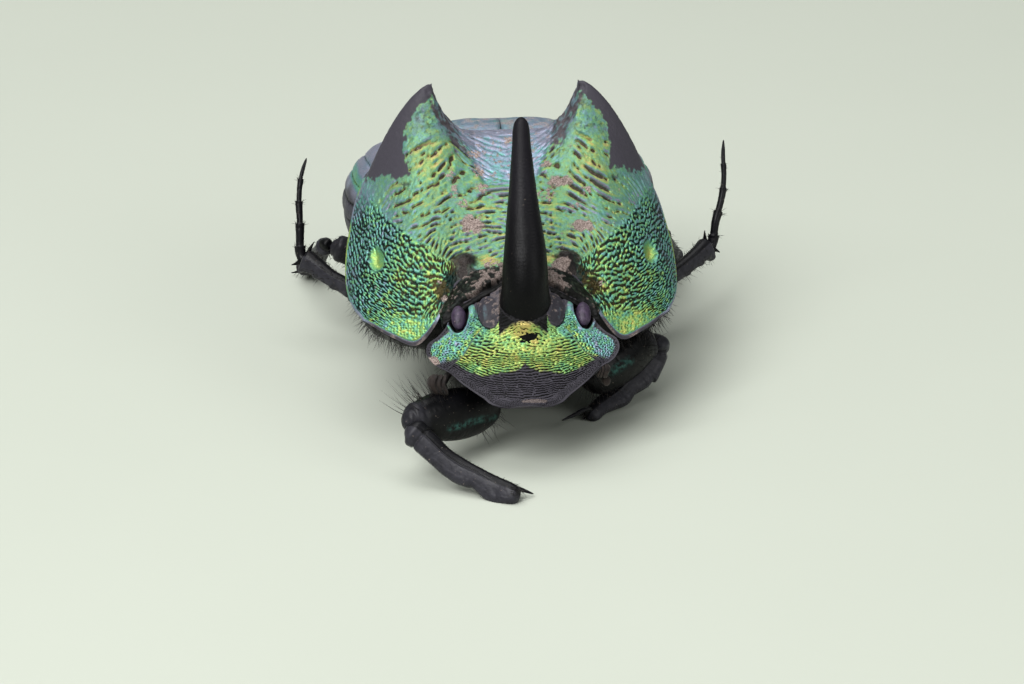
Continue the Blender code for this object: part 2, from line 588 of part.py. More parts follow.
clear_scene()
head = add_head()
horn = add_rings("horn", horn_rings(), BLACK)
cut(head, add_rings("horn_cutter", horn_rings(GAP), None))
feeler_cutters = {}
for word, sign in (("left", 1), ("right", -1)):
    add_rings("eye_" + word, eye_rings(sign), EYE)
    cut(head, add_rings("eye_cutter_" + word, eye_rings(sign, GAP), None))
    feeler = ANTENNA_LEFT if sign > 0 else mirrored(ANTENNA_LEFT)
    add_limb("antenna_" + word, feeler, (0.0, 0.0, 1.0), BROWN)
    feeler_cutters[word] = add_limb_cutter("antenna_" + word, feeler, (0.0, 0.0, 1.0))
    cut(head, feeler_cutters[word])
add_limb("mouthparts", MOUTHPARTS, (0.0, 0.0, 1.0), BROWN)
cut(head, add_limb_cutter("mouthparts", MOUTHPARTS, (0.0, 0.0, 1.0)))

pronotum = add_pronotum()
prothorax = add_prothorax()
lid_cutter = add_pronotum()
lid_cutter.name = "pronotum_cutter"
lid_cutter.location.z = -GAP * MM
cut(prothorax, lid_cutter)
pterothorax = add_pterothorax()
abdomen = add_abdomen()
add_pygidium()
for word, sign in (("left", 1), ("right", -1)):
    add_elytron("elytron_" + word, sign)

add_leg(FORE_LEFT, [prothorax], [feeler_cutters["left"]])
add_leg(FORE_RIGHT, [prothorax], [feeler_cutters["right"]])
add_leg(MID_LEFT, [prothorax, pterothorax])
add_leg(MID_RIGHT, [prothorax, pterothorax])
for word, sign in (("left", 1), ("right", -1)):
    pieces = [(name + "_" + word, (sign * wide[0], *wide[1:]), [(sign * x, *rest) for x, *rest in stations])
              for name, wide, stations in HIND]
    add_leg(pieces, [pterothorax, abdomen])
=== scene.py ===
"""Looks of a horned dung beetle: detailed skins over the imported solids, hairs, floor, lights and camera.

Lengths in the tables are millimetres: x to the animal's left, y backward from the front edge of the
head, z up from the floor, as in the solids. They become metres when a mesh is made.
"""
import math

import bpy
import numpy as np
from mathutils import Matrix


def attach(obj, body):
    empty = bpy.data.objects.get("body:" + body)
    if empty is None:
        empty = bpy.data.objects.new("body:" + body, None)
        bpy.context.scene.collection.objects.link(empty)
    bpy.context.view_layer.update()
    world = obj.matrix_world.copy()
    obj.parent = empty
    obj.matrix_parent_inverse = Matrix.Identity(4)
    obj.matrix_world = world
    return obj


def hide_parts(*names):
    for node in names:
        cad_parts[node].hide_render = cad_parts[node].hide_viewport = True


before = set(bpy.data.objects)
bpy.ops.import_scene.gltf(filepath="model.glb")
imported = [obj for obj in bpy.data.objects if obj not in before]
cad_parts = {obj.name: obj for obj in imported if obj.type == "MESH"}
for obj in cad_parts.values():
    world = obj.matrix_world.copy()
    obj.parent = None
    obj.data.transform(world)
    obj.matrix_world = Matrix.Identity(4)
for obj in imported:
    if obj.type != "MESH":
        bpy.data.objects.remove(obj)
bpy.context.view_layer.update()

MM = 0.001
SIDES = (("left", 1), ("right", -1))
CENTRE = np.array((0.37, 8.3, 0.0))

HEAD_PITCH = math.radians(39.0)
CLYPEUS_HEIGHT = 2.26
HEAD_LENGTH = 4.4

# Distance along the head from its front edge, half width there.
HEAD_OUTLINE = (
    (0.02, 0.55), (0.08, 0.80), (0.46, 1.38), (0.94, 1.95), (1.44, 2.45), (1.60, 2.72), (1.86, 2.93),
    (2.19, 3.01), (2.43, 2.91), (2.62, 2.66), (2.88, 2.42), (3.25, 2.23), (3.60, 2.03), (4.10, 1.55),
    (4.40, 0.90),
)
# Distance along the head, height of its middle line above the head plane, depth below it.
HEAD_PROFILE = (
    (0.0, 0.0, 0.22), (0.3, 0.10, 0.32), (1.0, 0.22, 0.60), (2.0, 0.35, 1.05), (2.8, 0.42, 1.20),
    (3.5, 0.40, 1.15), (4.1, 0.22, 0.95), (4.4, 0.05, 0.60),
)
# x, y, z of the horn's middle line, half width, half depth.
HORN_STATIONS = (
    (0.15, 2.66, 3.30, 1.50, 1.50), (0.14, 2.56, 3.90, 1.22, 1.26), (0.14, 2.48, 4.35, 0.96, 1.02),
    (0.13, 2.42, 4.72, 0.83, 0.87), (0.12, 2.36, 5.20, 0.74, 0.80), (0.14, 2.50, 5.90, 0.70, 0.72),
    (0.15, 2.85, 6.60, 0.63, 0.62), (0.15, 3.40, 7.50, 0.50, 0.50), (0.17, 4.10, 8.38, 0.38, 0.40),
    (0.20, 4.80, 9.08, 0.30, 0.31), (0.23, 5.35, 9.58, 0.24, 0.24), (0.25, 5.56, 9.76, 0.17, 0.17),
)
# x, y, z along the front edge of the pronotum from the middle to the corner.
PRONOTUM_FRONT = (
    (0.0, 4.20, 5.31), (0.8, 4.16, 5.27), (1.6, 3.98, 5.02), (2.2, 3.55, 4.50), (2.65, 3.24, 3.75),
    (3.15, 3.26, 3.14), (3.9, 3.70, 3.18), (4.85, 4.60, 3.48),
)
# Share of the way back along the side edge, x, y, z.
PRONOTUM_SIDE = (
    (0.0, 4.85, 4.60, 3.48), (0.18, 5.14, 5.60, 3.55), (0.38, 5.28, 6.73, 3.85), (0.55, 5.24, 7.68, 4.55),
    (0.68, 5.08, 8.40, 5.15), (0.79, 4.90, 9.00, 5.65), (0.93, 4.58, 9.80, 6.20), (1.0, 4.38, 10.20, 6.40),
)
# x, y, z along the back edge of the pronotum from the middle to the corner.
PRONOTUM_BACK = ((0.0, 11.10, 7.15), (2.0, 10.95, 7.05), (3.4, 10.65, 6.75), (4.38, 10.20, 6.40))
# Share of the way back, height of the middle line, distance of the horn ridge from it, ridge height.
PRONOTUM_ROOF = (
    (0.0, 5.31, 1.50, 5.10), (0.20, 6.15, 1.60, 6.10), (0.40, 6.90, 1.80, 7.00), (0.55, 7.45, 2.05, 7.85),
    (0.68, 7.80, 2.25, 8.85), (0.775, 7.95, 2.33, 9.70), (0.84, 7.92, 2.30, 8.80), (0.92, 7.60, 2.20, 7.50),
    (1.0, 7.15, 2.10, 7.05),
)
RIDGE_COLUMN = 4 / 11

# y, half width, roof height, height of the widest level, belly height of the trunk behind the pronotum.
TRUNK = (
    (10.3, 4.70, 6.80, 4.70, 2.05), (11.2, 5.02, 7.38, 4.60, 1.65), (12.0, 5.10, 7.42, 4.50, 1.50),
    (13.5, 5.05, 6.85, 4.30, 1.48), (15.0, 4.70, 6.15, 4.00, 1.60), (16.3, 4.00, 5.40, 3.70, 1.95),
    (17.2, 2.95, 4.75, 3.45, 2.40), (17.6, 2.20, 4.35, 3.30, 2.70),
)
# y, half width, height of the widest level, belly height of the prothorax.
PROTHORAX = (
    (3.95, 1.70, 3.80, 2.95), (4.35, 3.70, 3.40, 2.45), (5.0, 4.50, 3.35, 2.10), (6.0, 4.92, 3.45, 1.75),
    (7.0, 5.02, 3.90, 1.62), (8.2, 4.85, 4.75, 1.60), (9.3, 4.55, 5.45, 1.70), (10.15, 4.28, 5.90, 1.95),
)

# Each piece of a limb: name, direction of its wide side, and stations of its middle line, which hold
# x, y, z, half width on the wide side, half width on the other side and half thickness.
FORE_RIGHT = (
    ("coxa_fore_right", (0.0, 0.0, -1.0), (
        (-1.85, 4.95, 2.55, 0.62, 0.62, 0.62), (-1.55, 4.30, 2.05, 0.80, 0.80, 0.80),
        (-1.10, 3.45, 1.55, 0.74, 0.70, 0.70), (-0.85, 2.95, 1.38, 0.48, 0.48, 0.46),
    )),
    ("femur_fore_right", (-0.03, -0.37, -0.93), (
        (-0.77, 2.50, 1.34, 0.42, 0.42, 0.36), (-1.21, 2.10, 1.42, 0.66, 0.62, 0.50),
        (-1.67, 1.70, 1.50, 0.82, 0.72, 0.55), (-2.52, 1.05, 1.68, 0.86, 0.74, 0.55),
        (-3.17, 0.50, 1.79, 0.66, 0.62, 0.48), (-3.50, 0.25, 1.83, 0.50, 0.50, 0.40),
        (-3.79, 0.01, 1.89, 0.36, 0.34, 0.34),
    )),
    ("tibia_fore_right", (-0.56, -0.28, -0.78), (
        (-3.76, -0.01, 1.67, 0.26, 0.24, 0.30), (-3.58, -0.12, 1.60, 0.36, 0.38, 0.31),
        (-3.19, -0.38, 1.34, 0.40, 0.40, 0.30), (-2.69, -0.71, 0.94, 0.37, 0.37, 0.28),
        (-2.16, -1.05, 0.63, 0.40, 0.40, 0.27), (-1.66, -1.38, 0.51, 0.34, 0.34, 0.26),
        (-1.13, -1.73, 0.26, 0.41, 0.41, 0.26), (-0.63, -2.06, 0.22, 0.33, 0.33, 0.25),
        (-0.42, -2.20, 0.21, 0.26, 0.24, 0.20),
    )),
    ("spur_fore_right", (0.0, 0.0, -1.0), (
        (-0.72, -1.78, 0.40, 0.12, 0.12, 0.12), (-0.30, -1.80, 0.26, 0.10, 0.10, 0.10),
        (0.05, -1.84, 0.12, 0.04, 0.04, 0.04),
    )),
)
FORE_LEFT = (
    ("coxa_fore_left", (0.0, 0.0, -1.0), (
        (1.85, 5.20, 2.55, 0.62, 0.62, 0.62), (1.80, 4.75, 2.05, 0.80, 0.80, 0.80),
        (1.85, 4.40, 1.60, 0.70, 0.70, 0.70), (1.95, 4.25, 1.30, 0.45, 0.45, 0.45),
    )),
    ("femur_fore_left", (0.0, -0.30, -0.95), (
        (2.10, 4.25, 1.22, 0.42, 0.42, 0.40), (2.60, 4.65, 1.35, 0.66, 0.62, 0.50),
        (3.20, 5.15, 1.50, 0.74, 0.72, 0.55), (3.85, 5.75, 1.70, 0.70, 0.70, 0.52),
        (4.25, 6.15, 1.82, 0.55, 0.55, 0.46), (4.45, 6.35, 1.88, 0.42, 0.42, 0.40),
    )),
    ("tibia_fore_left", (0.75, -0.29, -0.59), (
        (4.47, 6.25, 1.96, 0.38, 0.24, 0.28), (4.58, 6.36, 1.60, 0.45, 0.32, 0.30),
        (4.48, 6.26, 1.23, 0.47, 0.42, 0.29), (4.23, 6.01, 0.96, 0.45, 0.46, 0.28),
        (3.95, 5.73, 0.77, 0.47, 0.46, 0.27), (3.66, 5.44, 0.59, 0.33, 0.45, 0.27),
        (3.35, 5.13, 0.42, 0.39, 0.42, 0.26), (3.03, 4.81, 0.32, 0.28, 0.39, 0.26),
        (2.71, 4.49, 0.25, 0.21, 0.38, 0.25), (2.43, 4.21, 0.19, 0.25, 0.30, 0.23),
        (2.24, 4.02, 0.16, 0.20, 0.18, 0.16),
    )),
    ("spur_fore_left", (0.0, 0.0, -1.0), (
        (2.30, 3.94, 0.46, 0.11, 0.11, 0.11), (2.12, 3.70, 0.56, 0.11, 0.11, 0.11),
        (1.74, 3.36, 0.53, 0.10, 0.10, 0.10), (1.30, 2.98, 0.50, 0.03, 0.03, 0.03),
    )),
)
MID_RIGHT = (
    ("coxa_mid_right", (0.0, 0.0, -1.0), (
        (-1.55, 12.35, 1.75, 0.40, 0.40, 0.45), (-1.90, 11.85, 1.50, 0.55, 0.55, 0.60),
        (-2.25, 11.45, 1.35, 0.45, 0.45, 0.50),
    )),
    ("femur_mid_right", (0.0, 0.0, -1.0), (
        (-2.20, 11.45, 1.30, 0.30, 0.30, 0.30), (-2.80, 11.20, 1.35, 0.48, 0.44, 0.40),
        (-3.50, 10.90, 1.50, 0.52, 0.46, 0.42), (-4.20, 10.62, 1.68, 0.40, 0.40, 0.36),
        (-4.62, 10.45, 1.80, 0.30, 0.30, 0.30),
    )),
    ("tibia_mid_right", (-0.55, 0.0, -0.83), (
        (-4.70, 10.50, 1.90, 0.25, 0.25, 0.25), (-5.15, 11.00, 2.14, 0.27, 0.27, 0.25),
        (-5.67, 11.40, 2.34, 0.27, 0.27, 0.25), (-6.08, 11.80, 2.57, 0.32, 0.30, 0.28),
        (-6.46, 12.10, 2.75, 0.46, 0.38, 0.32),
    )),
    ("tarsus_mid_right", (-1.0, 0.0, 0.0), (
        (-6.44, 12.12, 2.66, 0.22, 0.22, 0.22), (-6.56, 12.60, 3.55, 0.22, 0.22, 0.22),
        (-6.55, 12.75, 3.84, 0.21, 0.21, 0.21), (-6.56, 13.00, 4.27, 0.20, 0.20, 0.20),
        (-6.51, 13.30, 4.86, 0.19, 0.19, 0.19), (-6.43, 13.50, 5.21, 0.18, 0.18, 0.18),
        (-6.26, 13.75, 5.64, 0.12, 0.12, 0.12),
    )),
)
MID_LEFT = (
    ("coxa_mid_left", (0.0, 0.0, -1.0), (
        (1.55, 12.35, 1.75, 0.40, 0.40, 0.45), (1.90, 11.85, 1.50, 0.55, 0.55, 0.60),
        (2.25, 11.45, 1.35, 0.45, 0.45, 0.50),
    )),
    ("femur_mid_left", (0.0, 0.0, -1.0), (
        (2.20, 11.45, 1.30, 0.30, 0.30, 0.30), (2.95, 11.15, 1.40, 0.48, 0.44, 0.40),
        (3.80, 10.85, 1.62, 0.52, 0.46, 0.42), (4.60, 10.58, 1.90, 0.40, 0.40, 0.36),
        (5.10, 10.42, 2.06, 0.30, 0.30, 0.30),
    )),
    ("tibia_mid_left", (0.55, 0.0, -0.83), (
        (5.24, 10.50, 2.14, 0.25, 0.25, 0.25), (5.76, 11.00, 2.28, 0.27, 0.27, 0.25),
        (6.22, 11.40, 2.46, 0.28, 0.28, 0.25), (6.66, 11.80, 2.66, 0.33, 0.32, 0.28),
        (6.89, 12.10, 2.72, 0.46, 0.38, 0.32),
    )),
    ("tarsus_mid_left", (1.0, 0.0, 0.0), (
        (6.93, 12.12, 2.62, 0.22, 0.22, 0.22), (7.20, 12.60, 3.46, 0.22, 0.22, 0.22),
        (7.36, 12.85, 3.89, 0.21, 0.21, 0.21), (7.48, 13.10, 4.32, 0.20, 0.20, 0.20),
        (7.53, 13.30, 4.78, 0.19, 0.19, 0.19), (7.53, 13.60, 5.37, 0.18, 0.18, 0.18),
        (7.56, 13.80, 5.84, 0.12, 0.12, 0.12),
    )),
)
# The hind legs are alike, so they are held once, for the left side.
HIND = (
    ("coxa_hind", (0.0, 0.0, -1.0), (
        (1.20, 14.05, 1.70, 0.40, 0.40, 0.50), (2.00, 14.10, 1.52, 0.50, 0.50, 0.60),
        (2.60, 14.20, 1.50, 0.42, 0.42, 0.50),
    )),
    ("femur_hind", (0.0, 0.0, -1.0), (
        (2.45, 14.30, 1.45, 0.32, 0.32, 0.30), (3.30, 14.45, 1.55, 0.52, 0.50, 0.42),
        (4.20, 14.60, 1.75, 0.56, 0.52, 0.44), (5.00, 14.70, 1.98, 0.46, 0.46, 0.38),
        (5.50, 14.75, 2.12, 0.34, 0.34, 0.32),
    )),
    ("tibia_hind", (0.9, 0.0, -0.3), (
        (5.62, 14.90, 2.12, 0.25, 0.25, 0.25), (5.78, 15.60, 1.62, 0.28, 0.28, 0.26),
        (5.92, 16.30, 1.12, 0.32, 0.32, 0.28), (6.05, 16.95, 0.66, 0.42, 0.40, 0.32),
        (6.12, 17.25, 0.44, 0.48, 0.44, 0.36),
    )),
    ("tarsus_hind", (1.0, 0.0, 0.0), (
        (6.14, 17.40, 0.27, 0.24, 0.24, 0.24), (6.20, 17.85, 0.20, 0.23, 0.23, 0.23),
        (6.26, 18.30, 0.19, 0.22, 0.22, 0.22), (6.32, 18.70, 0.18, 0.21, 0.21, 0.21),
        (6.38, 19.10, 0.17, 0.19, 0.19, 0.19), (6.40, 19.35, 0.16, 0.12, 0.12, 0.12),
    )),
)
# Spines at the end of a rear tibia: start, tip, half thickness and bow.
MID_RIGHT_SPINES = (
    ((-6.50, 12.1, 2.62), (-6.88, 12.1, 2.52), 0.11, 0.03),
    ((-6.22, 12.05, 2.95), (-6.10, 12.1, 3.32), 0.08, 0.02),
)
MID_LEFT_SPINES = (
    ((6.95, 12.1, 2.58), (7.29, 12.1, 2.50), 0.11, 0.03),
    ((6.75, 12.05, 2.95), (6.78, 12.1, 3.30), 0.08, 0.02),
)
HIND_SPINES = (
    ((6.35, 17.25, 0.35), (6.75, 17.6, 0.10), 0.09, 0.03),
    ((5.9, 17.25, 0.42), (5.75, 17.75, 0.12), 0.08, 0.03),
)
# Stations of the left feeler's stalk and of the mouth, as those of a limb.
ANTENNA_STALK = (
    (2.05, 2.60, 2.62, 0.22, 0.22, 0.24), (2.35, 2.10, 2.50, 0.24, 0.24, 0.25),
    (2.62, 1.35, 2.42, 0.36, 0.36, 0.30),
)
MOUTHPARTS = (
    (0.0, 1.30, 2.52, 0.30, 0.30, 0.70), (0.0, 1.75, 2.35, 0.42, 0.42, 1.05),
    (0.0, 2.50, 2.30, 0.46, 0.50, 1.15), (0.0, 3.05, 2.45, 0.34, 0.40, 0.80),
)

# The camera's place and turn, which come from fitting the animal's landmarks to the photograph.
CAMERA_PLACE = (-11.0753, -151.7626, 65.9033)
CAMERA_AZIMUTH, CAMERA_HEIGHT, CAMERA_ROLL = (math.radians(a) for a in (-4.0, 22.0, 0.3))
LENS, SENSOR = 187.66, 36.0
PICTURE = (1024, 684)
# Direction towards the camera, without its turn to the side. Hues that follow it paint in the iridescent
# shift seen from the camera.
FRONT = np.array((0.0, -math.cos(CAMERA_HEIGHT), math.sin(CAMERA_HEIGHT)))

# Parts of the flat map for a shield's upper and lower skin: left, bottom, right, top.
UPPER_TILE, LOWER_TILE = (0.0, 0.12, 1.0, 1.0), (0.0, 0.0, 0.3, 0.1)
# How many waves make an even pattern, and in how many steps it is smeared each way.
WAVE_COUNT, RIPPLE_COUNT, DRAG_STEPS = 70, 22, 9


# Numbers and curves.

def spline(knots, t):
    """Values at t of a smooth curve through the rows (t, value, ...)."""
    table = np.asarray(knots, float)
    place, values = table[:, 0], table[:, 1:]
    slopes = np.gradient(values, place, axis=0)
    t = np.clip(np.atleast_1d(np.asarray(t, float)), place[0], place[-1])
    i = np.clip(np.searchsorted(place, t, side="right") - 1, 0, len(place) - 2)
    width = (place[i + 1] - place[i])[:, None]
    s = ((t - place[i]) / (place[i + 1] - place[i]))[:, None]
    start, end = values[i], values[i + 1]
    return (
        start * (1 + 2 * s) * (1 - s) ** 2
        + slopes[i] * width * s * (1 - s) ** 2
        + end * s**2 * (3 - 2 * s)
        + slopes[i + 1] * width * s**2 * (s - 1)
    )


def smooth(low, high, t):
    """0 below low, 1 above high, and a soft step between."""
    s = np.clip((t - low) / (high - low), 0.0, 1.0)
    return s * s * (3 - 2 * s)


def bump(distance, width):
    """A soft round bump, 1 at distance 0 and 0 from width on."""
    return smooth(width, 0.0, np.abs(distance))


def unit(vector):
    """Vectors made 1 long, along the last axis."""
    vector = np.asarray(vector, float)
    return vector / np.maximum(np.linalg.norm(vector, axis=-1, keepdims=True), 1e-12)


def resample(line, count):
    """Points spaced evenly along a line of rows, whose first three numbers are a place."""
    steps = np.linalg.norm(np.diff(line[:, :3], axis=0), axis=1)
    place = np.concatenate([[0.0], np.cumsum(steps)])
    want = np.linspace(0.0, place[-1], count)
    return np.stack([np.interp(want, place, column) for column in line.T], axis=1)


def lattice(i, j, k, seed):
    """Random-looking numbers from 0 to 1 for whole-number places."""
    h = (i * 374761393 + j * 668265263 + k * 1103515245 + seed * 12345701) & 0xFFFFFFFF
    h = ((h ^ (h >> 13)) * 1274126177) & 0xFFFFFFFF
    h = ((h ^ (h >> 15)) * 2246822519) & 0xFFFFFFFF
    return ((h ^ (h >> 16)) & 0xFFFFFF) / float(0x1000000)


def noise(points, size, seed, octaves=1):
    """Smooth noise from -1 to 1 with lumps about size wide."""
    total, reach = 0.0, 0.0
    for octave in range(octaves):
        q = np.asarray(points) * (2**octave / size)
        base = np.floor(q).astype(np.int64)
        f = q - base
        f = f * f * f * (f * (f * 6 - 15) + 10)
        value = 0.0
        for corner in range(8):
            d = (corner & 1, corner >> 1 & 1, corner >> 2)
            weight = 1.0
            for axis in range(3):
                weight = weight * (f[..., axis] if d[axis] else 1 - f[..., axis])
            value = value + weight * lattice(*(base[..., k] + d[k] for k in range(3)), seed + octave)
        total = total + (value * 2 - 1) * 0.5**octave
        reach += 0.5**octave
    return total / reach


def cell_distance(a, b, seed):
    """Distance over flat places a, b to the nearest of scattered centres about 1 apart."""
    base_a, base_b = np.floor(a).astype(np.int64), np.floor(b).astype(np.int64)
    nearest = np.inf
    for corner in range(9):
        i, j = base_a + corner % 3 - 1, base_b + corner // 3 - 1
        away_a = i + 0.15 + 0.7 * lattice(i, j, 0, seed) - a
        away_b = j + 0.15 + 0.7 * lattice(i, j, 1, seed) - b
        nearest = np.minimum(nearest, np.hypot(away_a, away_b))
    return nearest


def ripples(a, b, size, spread, seed):
    """Stripes from about -1 to 1 over flat places a, b, size wide along a, give or take spread degrees."""
    draw = np.random.default_rng(seed)
    total = 0.0
    for _ in range(RIPPLE_COUNT):
        turn = math.radians(spread * draw.normal())
        length = size * (1 + 0.12 * draw.normal())
        total = total + np.cos(2 * math.pi * (a * math.cos(turn) + b * math.sin(turn)) / length
                               + draw.uniform(0, 2 * math.pi))
    return total / math.sqrt(RIPPLE_COUNT)


# Meshes.

def grid_normals(grid, wrap=False):
    """Unit normals of a grid of points, which may close on itself across its columns."""
    down = np.gradient(grid, axis=0)
    if wrap:
        across = (np.roll(grid, -1, axis=1) - np.roll(grid, 1, axis=1)) / 2
    else:
        across = np.gradient(grid, axis=1)
    return unit(np.cross(across, down))


def lifted(points, normals, height):
    """Points moved outward by a height in millimetres."""
    return points + normals * height[..., None]


def camera_axes():
    """The directions to the camera's right, up and back."""
    az, height, roll = CAMERA_AZIMUTH, CAMERA_HEIGHT, CAMERA_ROLL
    back = np.array((math.sin(az) * math.cos(height), -math.cos(az) * math.cos(height), math.sin(height)))
    right = np.array((math.cos(az), math.sin(az), 0.0))
    up = np.cross(back, right)
    return (right * math.cos(roll) - up * math.sin(roll), right * math.sin(roll) + up * math.cos(roll), back)


def seen(points, mirror=True):
    """Where points show in the camera's picture, in pixels.

    With mirror, the animal's left half counts as its right half, which shows on the picture's left.
    """
    points = np.array(points, float)
    if mirror:
        points[..., 0] = -np.abs(points[..., 0])
    right, up, back = camera_axes()
    away = points - np.array(CAMERA_PLACE)
    scale = PICTURE[0] * LENS / SENSOR / -(away @ back)
    across, down = PICTURE[0] / 2 + scale * (away @ right), PICTURE[1] / 2 - scale * (away @ up)
    return np.stack([across, down], axis=-1)


def sample(field, i, j):
    """Values of a grid's field between its points."""
    rows, columns = field.shape
    i, j = np.clip(i, 0, rows - 1.001), np.clip(j, 0, columns - 1.001)
    r, c = i.astype(np.int64), j.astype(np.int64)
    f, g = i - r, j - c
    return ((field[r, c] * (1 - g) + field[r, c + 1] * g) * (1 - f)
            + (field[r + 1, c] * (1 - g) + field[r + 1, c + 1] * g) * f)


def flow_steps(grid, angle):
    """Steps over rows and columns for 1 mm along lines at an angle, as shown in the picture's left half."""
    place = seen(grid, False)
    down_i, down_j = np.gradient(place[..., 0]), np.gradient(place[..., 1])
    side = np.where(grid[..., 0] > 0, -1.0, 1.0)
    want = (side * np.cos(np.radians(angle)), np.sin(np.radians(angle)))
    det = down_i[0] * down_j[1] - down_i[1] * down_j[0]
    det = np.where(np.abs(det) < 0.02, np.copysign(0.02, det), det)
    step_i = (want[0] * down_j[1] - want[1] * down_i[1]) / det
    step_j = (want[1] * down_i[0] - want[0] * down_j[0]) / det
    move = np.gradient(grid, axis=0) * step_i[..., None] + np.gradient(grid, axis=1) * step_j[..., None]
    length = np.maximum(np.linalg.norm(move, axis=-1), 1e-6)
    return step_i / length, step_j / length


def drag(field, steps, reach):
    """Smears a field along the flow, reach millimetres each way."""
    step_i, step_j = steps
    total = field.copy()
    for sign in (1, -1):
        i, j = np.indices(field.shape, dtype=float)
        last_i, last_j = step_i * sign, step_j * sign
        for _ in range(DRAG_STEPS):
            here_i, here_j = sample(step_i, i, j), sample(step_j, i, j)
            turned = np.sign(here_i * last_i + here_j * last_j)
            last_i, last_j = here_i * turned, here_j * turned
            i, j = i + last_i * reach / DRAG_STEPS, j + last_j * reach / DRAG_STEPS
            total += sample(field, i, j)
    return total / (2 * DRAG_STEPS + 1)


def blended_angle(place, table):
    """Angle at places of the picture, blended from rows (across, down, degrees, reach).

    Opposite directions are alike.
    """
    total = 0.0
    for x, y, degrees, reach in table:
        weight = 1.0 / (((place[..., 0] - x) ** 2 + (place[..., 1] - y) ** 2) / reach**2 + 0.02) ** 2
        total = total + weight * np.exp(2j * math.radians(degrees))
    return np.degrees(np.angle(total)) / 2


def waves(grid, size, seed):
    """Even stripes that run every way over a grid, about size millimetres from one to the next."""
    draw = np.random.default_rng(seed)
    i, j = np.indices(grid.shape[:2], dtype=float)
    down = i * np.linalg.norm(np.diff(grid, axis=0), axis=-1).mean()
    across = j * np.linalg.norm(np.diff(grid, axis=1), axis=-1).mean()
    total = 0.0
    for k in range(WAVE_COUNT):
        turn = math.pi * (k + draw.uniform()) / WAVE_COUNT
        pace = 2 * math.pi / (size * (1 + 0.13 * draw.normal()))
        phase = draw.uniform(0, 2 * math.pi)
        total = total + np.cos(pace * (down * math.sin(turn) + across * math.cos(turn)) + phase)
    return total / math.sqrt(WAVE_COUNT / 2)


def ridged(field, sharp=1.4):
    """Turns smeared stripes into ridges from 0 to 1 of even strength."""
    return 0.5 + 0.5 * np.tanh(sharp * field / field.std())


